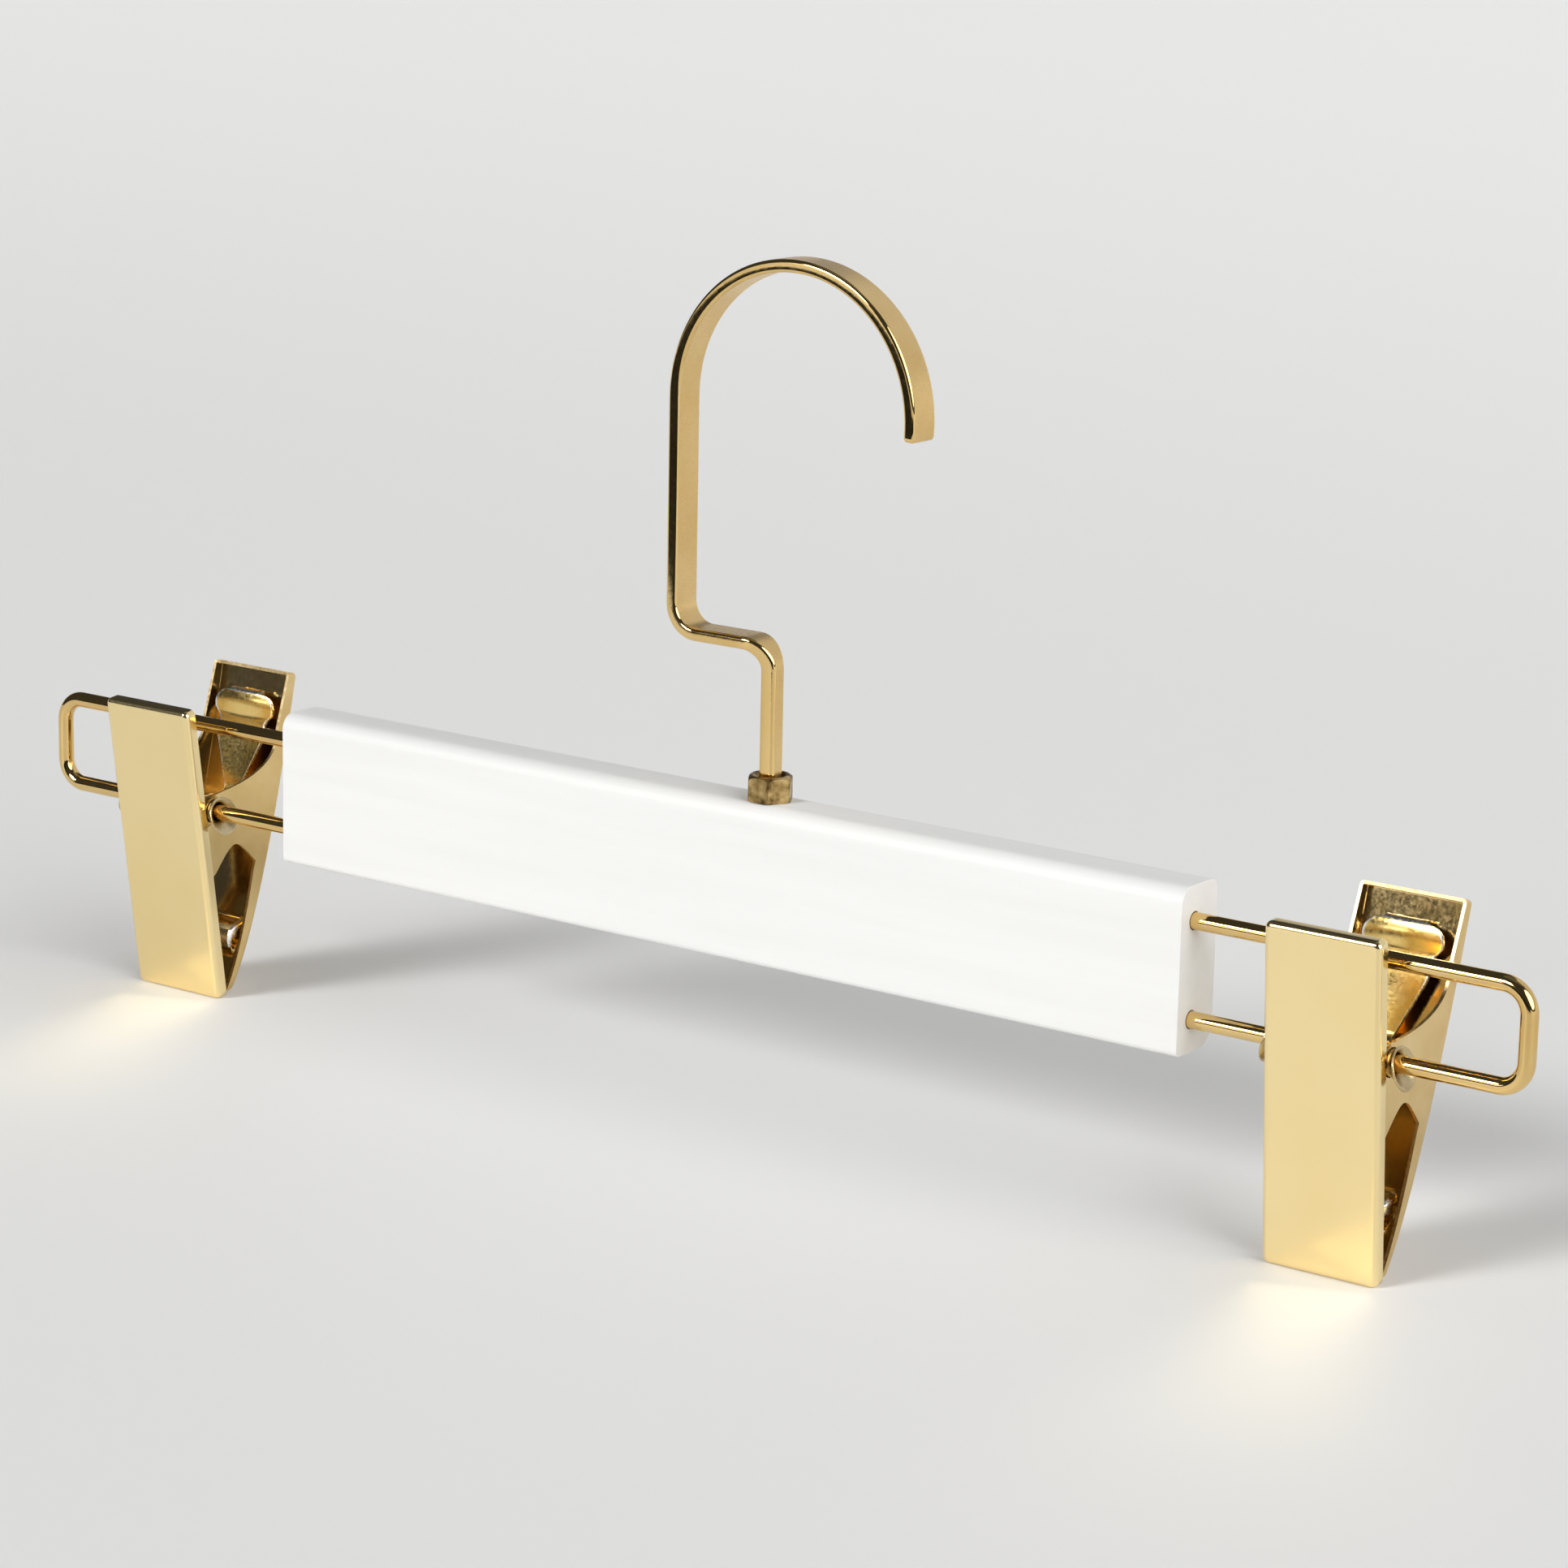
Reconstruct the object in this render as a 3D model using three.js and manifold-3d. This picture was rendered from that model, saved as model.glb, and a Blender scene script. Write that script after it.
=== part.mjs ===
// Clip hanger for trousers: a painted bar with a turning hook, a wire loop at each end,
// and on each loop a sprung clip that slides and swings.
// Millimetres, +Z up, +X along the bar, +Y to the back.
// The origin is where a rail bears on the hook, at the top of its arc.

import * as THREE from "three";
import { mergeVertices } from "three/addons/utils/BufferGeometryUtils.js";
import Module from "manifold-3d";

const wasm = await Module();
wasm.setup();

// Bar
const barLength = 214;
const barHeight = 31;
const barThickness = 12;
const barFrontTopRound = 3.2;
const barBackTopRound = 2.2;
const barBackBottomRound = 4.6;
const barFrontBottomRound = 1.2;
const barEndBreak = 0.8;

// Wire loops, each pressed into two sockets of the bar's end
const wireDiameter = 3.2;
const wireFromFront = 4.5;
const upperWireFromTop = 6.6;
const lowerWireFromBottom = 6.2;
const loopReach = 68;
const loopBend = 5;
const socketDepth = 22;
const socketClear = 0.15;

// Hook: a rod that is flattened to a strip from its first bend on
const hookFromMiddle = 12;
const rodDiameter = 4.3;
const stripWidth = 7;
const stripThickness = 2.1;
const runRise = 30;
const runLength = 21.8;
const shankBend = 5;
const runBend = 5.5;
const arcRadius = 26.9;
const arcRise = 74.6;
const tipAngle = -4;

// Nut with a hollow stem, and the ring that holds the hook in it
const nutAcrossFlats = 8;
const nutHeight = 5;
const nutChamfer = 0.8;
const stemLength = 12;
const stemWall = 0.8;
const turnClear = 0.2;
const seatGap = 0.05;
const ringThickness = 1;
const ringOverlap = 0.55;
const grooveDepth = 0.5;
const ringClear = 0.15;
const shankTail = 1.4;
const holeBottomRoom = 2;

// Clip sheet and pivot
const sheet = 0.8;
const rightClipShare = 0.44;
const leftClipShare = 0.5;
const rightClipHang = 4;
const leftClipHang = 8;
const plateWidth = 23.2;
const plateCorner = 1.4;
const plateBend = 1.1;
const plateAboveWire = 5.3;
const plateDrop = 40.2;
const flangeToWire = 2.97;
const flangeClear = 0.1;
const runningClear = 0.3;
const sleeveWall = 0.6;
const pivotClear = 0.25;
const earMargin = 1.85;
const earToPlate = 0.6;
const sideClear = 0.3;
const rimSpread = 2.1;
const rimProud = 3.4;
const rimEdge = 0.6;

// Front jaw lugs
const lugAbove = 5;
const lugBelow = 12;
const lugHang = 3.6;
const lugReach = 1.6;
const lugMargin = 0.8;

// Back jaw
const jawTopReach = 28.8;
const jawTopAboveWire = 3.3;
const kneeReach = 11.7;
const kneeDrop = 26.1;
const gripGap = 0.3;
const tipLip = 2.5;
const jawBend = 1.4;
const rimDepth = 2.6;
const rimRootDepth = 3.8;
const sideDepth = 4.1;
const sideTipDepth = 1.8;
const earRootRise = 9.5;
const earRootDrop = 14.5;
const earTopRise = 3.4;
const earTopBend = 2.2;
const archPeakReach = 5;
const archPeakDrop = 7.3;
const archFoot = 1.7;
const archFootDrop = 13.3;
const panelDrop = 15;
const ribRise = 14.2;
const ribHeight = 7.5;
const ribReach = 2.3;
const ribHalfWidth = 6.8;

// Hairpin spring
const springThickness = 0.6;
const springGap = 0.3;
const springStandOff = 3.4;
const springCurl = 1.2;
const springHeel = 3.5;
const springStemHalf = 1.8;
const springStemDrop = 2;
const springLegHalf = 4.4;
const springLegRise = 8;
const springBelowWire = 4;
const springNeckHalf = 6.4;
const springNeckRise = 8.4;
const springHeadHalf = 8.2;
const springHeadLength = 6.8;
const springHeadRound = 4;
const springBelowTop = 3.2;

// Fineness
const wireSides = 16;
const bendSteps = 6;
const arcSteps = 22;
const latheSteps = 24;
const webSteps = 16;
const springSteps = 44;

// Sizes that follow from those above
const barHalf = barLength / 2;
const wireRadius = wireDiameter / 2;
const wireY = wireFromFront - barThickness / 2;
const lowerWireZ = lowerWireFromBottom;
const upperWireZ = barHeight - upperWireFromTop;
const wireSpacing = upperWireZ - lowerWireZ;
const rodRadius = rodDiameter / 2;
const stemBore = rodRadius + turnClear;
const stemRadius = stemBore + stemWall;
const grooveRadius = rodRadius - grooveDepth;
const ringBore = grooveRadius + ringClear;
const ringRadius = stemBore + ringOverlap;
const grooveTop = -stemLength - ringClear;
const grooveBottom = grooveTop - ringThickness - 2 * ringClear;
const shankBottom = grooveBottom - shankTail;
const arcX = arcRadius - runLength;
const hangX = hookFromMiddle + arcX;
const hangZ = barHeight + arcRise + arcRadius - stripThickness / 2;
const tilt = THREE.MathUtils.degToRad(Math.min(rightClipHang, leftClipHang));
const sleeveBore = wireRadius + runningClear;
const sleeveRadius = sleeveBore + sleeveWall;
const pivotHole = sleeveRadius + pivotClear;
const earEnd = pivotHole + earMargin;
const lugEnd = pivotHole + lugMargin;
const plateReach = earEnd + earToPlate + sheet;
const upperWireAway = wireSpacing * Math.sin(tilt);
const flangeBack = upperWireAway - wireRadius - flangeToWire;
const flangeDepth = flangeBack + plateReach;
const plateRise = wireSpacing + plateAboveWire;
const jawTopRise = wireSpacing + jawTopAboveWire;
const jawTipZ = -plateDrop + gripGap;
const jawTipY = flangeBack + gripGap + tipLip;
const earOuter = plateWidth / 2 - sheet - flangeClear;
const earInner = earOuter - sheet;
const lugOuter = earInner - sideClear;
const lugInner = lugOuter - sheet;

const gold = { color: 0xd9b45c, roughness: 0.22, metalness: 1 };
const satinGold = { color: 0xecd296, roughness: 0.4, metalness: 1 };
const paleSteel = { color: 0xc9c2ae, roughness: 0.25, metalness: 1 };
const oldBrass = { color: 0x8f6a35, roughness: 0.35, metalness: 1 };
const whitePaint = { color: 0xf3f1ec, roughness: 0.55, metalness: 0 };

// Solids and meshes
function solid(geometry) {
  const bare = geometry.index ? geometry.toNonIndexed() : geometry.clone();
  bare.deleteAttribute("normal");
  bare.deleteAttribute("uv");
  const merged = mergeVertices(bare, 1e-4);
  const vertProperties = merged.attributes.position.array;
  const triVerts = new Uint32Array(merged.index.array);
  return new wasm.Manifold(new wasm.Mesh({ numProp: 3, vertProperties, triVerts }));
}

function meshOf(name, made, look) {
  const data = made.getMesh();
  const geometry = new THREE.BufferGeometry();
  geometry.setAttribute("position", new THREE.BufferAttribute(data.vertProperties, 3));
  geometry.setIndex(new THREE.BufferAttribute(data.triVerts, 1));
  geometry.computeVertexNormals();
  const mesh = new THREE.Mesh(geometry, new THREE.MeshStandardMaterial(look));
  mesh.name = name;
  return mesh;
}

// A shape drawn in Y and Z becomes a prism along X.
const sideways = new THREE.Matrix4().set(0, 0, 1, 0, 1, 0, 0, 0, 0, 1, 0, 0, 0, 0, 0, 1);

function shapeOf(points) {
  return new THREE.Shape(points.map(([a, b]) => new THREE.Vector2(a, b)));
}

function sidePrism(points, fromX, toX) {
  const made = new THREE.ExtrudeGeometry(shapeOf(points), { depth: toX - fromX, bevelEnabled: false });
  return solid(made.applyMatrix4(sideways).translate(fromX, 0, 0));
}

function roundedSidePrism(points, halfWidth, round) {
  const options = {
    depth: 2 * (halfWidth - round),
    bevelEnabled: true,
    bevelThickness: round,
    bevelSize: round,
    bevelOffset: -round,
    bevelSegments: 3,
  };
  const made = new THREE.ExtrudeGeometry(shapeOf(points), options);
  return solid(made.applyMatrix4(sideways).translate(round - halfWidth, 0, 0));
}

function block(x0, x1, y0, y1, z0, z1) {
  const made = new THREE.BoxGeometry(x1 - x0, y1 - y0, z1 - z0);
  return solid(made.translate((x0 + x1) / 2, (y0 + y1) / 2, (z0 + z1) / 2));
}

function rodAlongX(radius, fromX, toX, y, z) {
  const made = new THREE.CylinderGeometry(radius, radius, toX - fromX, latheSteps);
  return solid(made.rotateZ(Math.PI / 2).translate((fromX + toX) / 2, y, z));
}

function rodAlongZ(radius, fromZ, toZ) {
  const made = new THREE.CylinderGeometry(radius, radius, toZ - fromZ, latheSteps);
  return solid(made.rotateX(Math.PI / 2).translate(0, 0, (fromZ + toZ) / 2));
}

// A closed outline of radius and height, turned round the Z axis.
function turned(points) {
  const outline = points.concat([points[0]]).map(([r, z]) => new THREE.Vector2(r, z));
  return solid(new THREE.LatheGeometry(outline, latheSteps).rotateX(Math.PI / 2));
}

// A bar bent in the X Z plane: each station has a place, a heading and half sizes of its section.
function bentBar(stations) {
  const ring = [];
  for (let i = 0; i < wireSides; i += 1) {
    const angle = (2 * Math.PI * (i + 0.5)) / wireSides;
    ring.push([Math.cos(angle), Math.sin(angle)]);
  }
  const steps = stations.length - 1;
  const made = new THREE.ExtrudeGeometry(shapeOf(ring), { depth: steps, steps, bevelEnabled: false });
  const place = made.attributes.position;
  for (let i = 0; i < place.count; i += 1) {
    const at = stations[Math.round(place.getZ(i))];
    const c = place.getX(i);
    const s = place.getY(i);
    const power = 2 / at.square;
    const across = at.thin * Math.sign(c) * Math.abs(c) ** power;
    const wide = at.wide * Math.sign(s) * Math.abs(s) ** power;
    place.setXYZ(i, at.x + across * at.headZ, at.y + wide, at.z - across * at.headX);
  }
  return solid(made);
}

function roundStation(x, y, z, headX, headZ, radius) {
  return { x, y, z, headX, headZ, thin: radius, wide: radius, square: 2 };
}

// Stations round a bend, with angles in degrees and the heading of a clockwise or other turn.
function bend(centreX, centreZ, radius, fromDeg, toDeg, steps) {
  const sense = Math.sign(toDeg - fromDeg);
  const list = [];
  for (let i = 0; i <= steps; i += 1) {
    const angle = THREE.MathUtils.degToRad(fromDeg + ((toDeg - fromDeg) * i) / steps);
    const x = centreX + radius * Math.cos(angle);
    const z = centreZ + radius * Math.sin(angle);
    list.push({ x, z, headX: -sense * Math.sin(angle), headZ: sense * Math.cos(angle), share: i / steps });
  }
  return list;
}

// Outlines in Y and Z
function arcPoints(y, z, radius, fromDeg, toDeg, steps) {
  const list = [];
  for (let i = 0; i <= steps; i += 1) {
    const angle = THREE.MathUtils.degToRad(fromDeg + ((toDeg - fromDeg) * i) / steps);
    list.push([y + radius * Math.cos(angle), z + radius * Math.sin(angle)]);
  }
  return list;
}

function besides(points, distance) {
  return points.map((p, i) => {
    const off = typeof distance === "function" ? distance(p[1]) : distance;
    const a = points[Math.max(i - 1, 0)];
    const b = points[Math.min(i + 1, points.length - 1)];
    const run = Math.hypot(b[0] - a[0], b[1] - a[1]);
    return [p[0] + (off * (b[1] - a[1])) / run, p[1] - (off * (b[0] - a[0])) / run];
  });
}

function ribbon(points, thickness) {
  const one = besides(points, thickness / 2);
  const other = besides(points, -thickness / 2);
  return one.concat(other.reverse());
}

// Bar
function makeBar() {
  const front = -barThickness / 2;
  const back = barThickness / 2;
  const profile = [
    ...arcPoints(front + barFrontBottomRound, barFrontBottomRound, barFrontBottomRound, 180, 270, 3),
    ...arcPoints(back - barBackBottomRound, barBackBottomRound, barBackBottomRound, 270, 360, 5),
    ...arcPoints(back - barBackTopRound, barHeight - barBackTopRound, barBackTopRound, 0, 90, 4),
    ...arcPoints(front + barFrontTopRound, barHeight - barFrontTopRound, barFrontTopRound, 90, 180, 5),
  ];
  let made = roundedSidePrism(profile, barHalf, barEndBreak);
  const socket = wireRadius + socketClear;
  for (const z of [lowerWireZ, upperWireZ]) {
    const right = rodAlongX(socket, barHalf - socketDepth - socketClear, barHalf + socketDepth, wireY, z);
    const left = rodAlongX(socket, -barHalf - socketDepth, socketDepth + socketClear - barHalf, wireY, z);
    made = made.subtract(right).subtract(left);
  }
  const holeBottom = barHeight + shankBottom - holeBottomRoom;
  const hole = rodAlongZ(stemRadius + socketClear, holeBottom, barHeight + nutHeight);
  made = made.subtract(hole.translate(hookFromMiddle, 0, 0));
  return meshOf("bar", made, whitePaint);
}

// Hook
function makeHook() {
  const top = barHeight;
  const up = (z, radius) => roundStation(0, 0, top + z, 0, 1, radius);
  const stations = [
    up(shankBottom, rodRadius),
    up(grooveBottom, rodRadius),
    up(grooveBottom, grooveRadius),
    up(grooveTop, grooveRadius),
    up(grooveTop, rodRadius),
    up(nutHeight, rodRadius),
  ];
  const flat = (place, share) => ({
    ...place,
    y: 0,
    thin: rodRadius + (stripThickness / 2 - rodRadius) * share,
    wide: rodRadius + (stripWidth / 2 - rodRadius) * share,
    square: 2 + 4 * share,
  });
  const runZ = top + runRise;
  const uprightX = -runLength;
  for (const place of bend(-shankBend, runZ - shankBend, shankBend, 0, 90, bendSteps)) {
    stations.push(flat(place, place.share));
  }
  for (const place of bend(uprightX + runBend, runZ + runBend, runBend, 270, 180, bendSteps)) {
    stations.push(flat(place, 1));
  }
  const arcZ = top + arcRise;
  for (const place of bend(arcX, arcZ, arcRadius, 180, tipAngle, arcSteps)) {
    stations.push(flat(place, 1));
  }
  const tip = stations[stations.length - 1];
  const nose = stripThickness / 2;
  const end = { ...tip, x: tip.x + nose * tip.headX, z: tip.z + nose * tip.headZ };
  end.thin = tip.thin / 2;
  end.wide = tip.wide - nose;
  stations.push(end);
  const mesh = meshOf("hook", bentBar(stations), gold);
  mesh.position.x = hookFromMiddle;
  return mesh;
}

function makeNut() {
  const across = nutAcrossFlats / Math.sqrt(3);
  const hex = new THREE.CylinderGeometry(across, across, nutHeight, 6).rotateX(Math.PI / 2);
  const crown = turned([
    [0, 0],
    [across - nutChamfer / 3, 0],
    [across, nutChamfer / 3],
    [across, nutHeight - nutChamfer],
    [across - 1.7 * nutChamfer, nutHeight],
    [0, nutHeight],
  ]);
  const body = solid(hex.translate(0, 0, nutHeight / 2)).intersect(crown);
  const stem = rodAlongZ(stemRadius, -stemLength, nutHeight / 2);
  const bore = rodAlongZ(stemBore, -stemLength - nutHeight, 2 * nutHeight);
  const mesh = meshOf("hook_nut", body.add(stem).subtract(bore), oldBrass);
  mesh.position.set(hookFromMiddle, 0, barHeight + seatGap);
  return mesh;
}

function makeRing() {
  const made = turned([
    [ringBore, 0],
    [ringRadius, 0],
    [ringRadius, ringThickness],
    [ringBore, ringThickness],
  ]);
  const mesh = meshOf("hook_retaining_ring", made, paleSteel);
  mesh.position.set(hookFromMiddle, 0, barHeight + grooveBottom + ringClear);
  return mesh;
}

// Wire loop, drawn for the right end and turned round for the left
function makeLoop(name, side) {
  const outX = barHalf + loopReach - wireRadius;
  const innerX = barHalf - socketDepth;
  const list = [{ x: innerX, z: upperWireZ, headX: 1, headZ: 0 }];
  list.push(...bend(outX - loopBend, upperWireZ - loopBend, loopBend, 90, 0, bendSteps));
  list.push(...bend(outX - loopBend, lowerWireZ + loopBend, loopBend, 0, -90, bendSteps));
  list.push({ x: innerX, z: lowerWireZ, headX: -1, headZ: 0 });
  const right = list.map((p) => roundStation(p.x, wireY, p.z, p.headX, p.headZ, wireRadius));
  const left = right.map((p) => ({ ...p, x: -p.x, headX: -p.headX })).reverse();
  const back = left.map((p) => ({ ...p, headX: -p.headX, headZ: -p.headZ }));
  return meshOf(name, bentBar(side > 0 ? right : back), gold);
}

// Front jaw, in the clip's own frame: the pivot is the origin and the plate stands upright
function tray(width, height, corner, depth, round) {
  const shape = new THREE.Shape();
  const x = width / 2;
  const z = height / 2;
  shape.moveTo(-x + corner, -z);
  shape.lineTo(x - corner, -z);
  shape.absarc(x - corner, -z + corner, corner, -Math.PI / 2, 0);
  shape.lineTo(x, z - corner);
  shape.absarc(x - corner, z - corner, corner, 0, Math.PI / 2);
  shape.lineTo(-x + corner, z);
  shape.absarc(-x + corner, z - corner, corner, Math.PI / 2, Math.PI);
  shape.lineTo(-x, -z + corner);
  shape.absarc(-x + corner, -z + corner, corner, Math.PI, 1.5 * Math.PI);
  const options = {
    depth: depth,
    bevelEnabled: true,
    bevelThickness: round,
    bevelSize: round,
    bevelOffset: -round,
    bevelSegments: 4,
    curveSegments: 4,
  };
  const made = new THREE.ExtrudeGeometry(shape, options).rotateX(Math.PI / 2);
  return solid(made.translate(0, depth + round, 0));
}

function makeFrontJaw(name) {
  const height = plateRise + plateDrop;
  const middle = (plateRise - plateDrop) / 2;
  const outer = tray(plateWidth, height, plateCorner, 2 * flangeDepth, plateBend);
  const innerWidth = plateWidth - 2 * sheet;
  const inner = tray(innerWidth, height - 2 * sheet, plateCorner - sheet, 3 * flangeDepth, plateBend - sheet);
  const pressed = inner.translate(0, sheet - plateReach, middle);
  const hollow = outer.translate(0, -plateReach, middle).subtract(pressed);
  const behind = block(-plateWidth, plateWidth, flangeBack, 4 * plateReach, -2 * plateDrop, 2 * plateRise);
  let made = hollow.subtract(behind);
  const inside = sheet / 2 - plateReach;
  const outline = [
    [inside, lugAbove],
    [inside, -lugBelow],
    [flangeBack, -lugBelow + lugHang],
    [lugReach, -lugEnd - lugHang / 2],
    ...arcPoints(0, 0, lugEnd, -45, 100, 8),
  ];
  for (const side of [-1, 1]) {
    made = made.add(sidePrism(outline, side > 0 ? lugInner : -lugOuter, side > 0 ? lugOuter : -lugInner));
  }
  made = made.subtract(rodAlongX(pivotHole, -plateWidth, plateWidth, 0, 0));
  return meshOf(name, made, satinGold);
}

// Back jaw, in the same frame
const webStart = new THREE.Vector2(jawTopReach, jawTopRise);
const webKnee = new THREE.Vector2(kneeReach, -kneeDrop);
const webEnd = new THREE.Vector2(jawTipY, jawTipZ);
const webCurve = new THREE.QuadraticBezierCurve(webStart, webKnee, webEnd);
const web = webCurve.getPoints(webSteps).map((p) => [p.x, p.y]);

function webAt(z) {
  const i = web.findIndex((p) => p[1] < z);
  const [a, b] = [web[Math.max(i - 1, 0)], web[Math.max(i, 1)]];
  const share = (a[1] - z) / (a[1] - b[1]);
  return [a[0] + (b[0] - a[0]) * share, z];
}

function rimAt(z) {
  const share = THREE.MathUtils.clamp((jawTopRise - z) / (jawTopRise - earRootRise), 0, 1);
  return rimDepth + (rimRootDepth - rimDepth) * share;
}

function sideAt(z) {
  const share = THREE.MathUtils.clamp((z - jawTipZ) / (-earRootDrop - jawTipZ), 0, 1);
  return sideTipDepth + (sideDepth - sideTipDepth) * share;
}

function jawOutline(inset, forward) {
  const line = besides(web, inset);
  const first = line[0];
  const last = line[line.length - 1];
  const down = [web[1][0] - web[0][0], web[1][1] - web[0][1]];
  const length = Math.hypot(down[0], down[1]);
  const along = [down[0] / length, down[1] / length];
  const top = [first[0] + inset * along[0], first[1] + inset * along[1]];
  const reach = (top[0] + forward) / -along[1];
  const topFront = [top[0] + reach * along[1], top[1] - reach * along[0]];
  const bottom = [last[0], jawTipZ + inset];
  return [topFront, top, ...line.slice(1, -1), bottom, [-forward, bottom[1]]];
}

// A rib pressed into the web stops cloth from creeping up: steep above, with a long slope below
const ribSteps = [[0, 0], [0.1, 0.8], [0.22, 1], [0.5, 0.85], [1, 0]];

function ribOutline(before, root) {
  const narrowed = sheet - before;
  const top = ribRise - plateDrop - narrowed;
  const height = ribHeight - 1.5 * narrowed;
  const front = ribSteps.map(([drop, share]) => {
    const [y, z] = webAt(top - drop * height);
    return [y - before - share * ribReach, z];
  });
  const [lowY, lowZ] = webAt(top - height);
  const [highY, highZ] = webAt(top);
  return [...front, [lowY - root, lowZ], [highY - root, highZ]];
}

function makeBackJaw(name) {
  const forward = 2 * plateReach;
  const outer = roundedSidePrism(jawOutline(0, forward), earOuter, jawBend);
  const inner = roundedSidePrism(jawOutline(sheet, 2 * forward), earInner, jawBend - sheet);
  const beyond = besides(web, -sheet);
  const rim = besides(web, rimAt);
  const side = besides(web, sideAt);
  const upperRoot = webAt(earRootRise);
  const lowerRoot = webAt(-earRootDrop);
  const upperSteps = web.map((p, i) => i).filter((i) => web[i][1] > 0);
  const rimStrip = upperSteps.map((i) => beyond[i]).concat(upperSteps.map((i) => rim[i]).reverse());
  const lowerSteps = web.map((p, i) => i).filter((i) => web[i][1] < earRootRise);
  const lowerStrip = lowerSteps.map((i) => beyond[i]).concat(lowerSteps.map((i) => side[i]).reverse());
  const earStart = new THREE.Vector2(upperRoot[0] - rimRootDepth, earRootRise);
  const earTurn = new THREE.Vector2(earStart.x - earTopBend, earTopRise);
  const earTop = new THREE.QuadraticBezierCurve(earStart, earTurn, new THREE.Vector2(earEnd, earTopRise));
  const archStart = new THREE.Vector2(-archFoot, -archFootDrop);
  const archPeak = new THREE.Vector2(archPeakReach, -archPeakDrop);
  const archEnd = new THREE.Vector2(lowerRoot[0] - sideDepth, -earRootDrop);
  const arch = new THREE.CubicBezierCurve(archStart, archPeak, archPeak, archEnd);
  const ear = [
    [upperRoot[0] + sheet, upperRoot[1]],
    ...earTop.getPoints(8).map((p) => [p.x, p.y]),
    ...arcPoints(0, 0, earEnd, 180 - THREE.MathUtils.radToDeg(Math.asin(earTopRise / earEnd)), 180, 4),
    [-earEnd, -panelDrop],
    ...arch.getPoints(12).map((p) => [p.x, p.y]),
    [lowerRoot[0] + sheet, lowerRoot[1]],
  ];
  const wide = earOuter + sheet;
  const keep = sidePrism(rimStrip, -wide, wide)
    .add(sidePrism(lowerStrip, -wide, wide))
    .add(sidePrism(ear.reverse(), -wide, wide));
  let made = outer.subtract(inner).intersect(keep);
  const gripFace = flangeBack + gripGap;
  made = made.subtract(block(-wide, wide, -forward, gripFace, -2 * plateDrop, -panelDrop - sideClear));
  made = made.add(sidePrism(ribOutline(sheet, sheet / 2), -ribHalfWidth, ribHalfWidth));
  const dentHalf = ribHalfWidth - sheet;
  made = made.subtract(sidePrism(ribOutline(0, -sheet), -dentHalf, dentHalf));
  made = made.subtract(rodAlongX(pivotHole, -plateWidth, plateWidth, 0, 0));
  return meshOf(name, made, gold);
}

// Spring: a leaf up the front plate, a narrow wrap under the sleeve, and a leaf with an oval head up the back jaw
function unitAlong(a, b) {
  const run = Math.hypot(b[0] - a[0], b[1] - a[1]);
  return [(b[0] - a[0]) / run, (b[1] - a[1]) / run];
}

function cutToWidth(strip, halfWidths, fromY, toY) {
  const mirrored = halfWidths.map(([x, z]) => [-x, z]).reverse();
  const face = new THREE.ExtrudeGeometry(shapeOf(halfWidths.concat(mirrored)), {
    depth: toY - fromY,
    bevelEnabled: false,
  });
  return strip.intersect(solid(face.rotateX(Math.PI / 2).translate(0, toY, 0)));
}

function makeSpring(name) {
  const wrap = sleeveRadius + springGap + springThickness / 2;
  const headEnd = jawTopRise - springBelowTop;
  const curlStart = headEnd - springCurl;
  const backWeb = webCurve.getPoints(springSteps).map((p) => [p.x, p.y]);
  const backLine = besides(backWeb, springStandOff).reverse();
  const heelZ = springHeel - wrap;
  const stem = backLine.filter((p) => p[1] > heelZ && p[1] < curlStart);
  const lean = unitAlong(stem[0], stem[1]);
  const heelY = stem[0][0] - (stem[0][1] - heelZ + springHeel * lean[0]) * (lean[0] / lean[1]) - springHeel * lean[1];
  const heelEnd = -THREE.MathUtils.radToDeg(Math.asin(lean[0]));
  const last = stem[stem.length - 1];
  const up = unitAlong(stem[stem.length - 2], last);
  const climb = (curlStart - last[1]) / up[1];
  const curlY = last[0] + climb * up[0] + springCurl * up[1];
  const curlZ = last[1] + climb * up[1] - springCurl * up[0];
  const facing = THREE.MathUtils.radToDeg(Math.atan2(up[0], -up[1]));
  const curl = arcPoints(curlY, curlZ, springCurl, facing, facing - 90, 3);
  const left = springStandOff - sheet - springGap - springCurl;
  const curlEnd = curl[curl.length - 1];
  const frontY = sheet + springGap + springThickness / 2 - plateReach;
  const line = [
    [frontY, wireSpacing - springBelowWire],
    ...arcPoints(0, 0, wrap, 185, 270, 6),
    ...arcPoints(heelY, heelZ, springHeel, -90, heelEnd, 5),
    ...stem.slice(1),
    ...curl,
    [curlEnd[0] + left * up[1], curlEnd[1] - left * up[0]],
  ];
  const strip = sidePrism(ribbon(line, springThickness), -plateWidth, plateWidth);
  const neck = [[springStemHalf, -2 * wrap], [springStemHalf, -springStemDrop]];
  const leg = [[springLegHalf, springLegRise], [springLegHalf, 2 * wireSpacing]];
  const neckTop = headEnd - springHeadLength;
  const round = springHeadRound;
  const leaf = [
    [springNeckHalf, springNeckRise],
    [springNeckHalf, neckTop],
    [springHeadHalf, neckTop + 0.6 * round],
    [springHeadHalf, headEnd - 0.8 * round],
    [springHeadHalf - 0.35 * round, headEnd - 0.3 * round],
    [springHeadHalf - round, headEnd + 2 * springThickness],
  ];
  const front = cutToWidth(strip, neck.concat(leg), -2 * plateReach, heelY / 2 + springThickness);
  const back = cutToWidth(strip, neck.concat(leaf), heelY / 2 - springThickness, 2 * jawTopReach);
  return meshOf(name, front.add(back), paleSteel);
}

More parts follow.
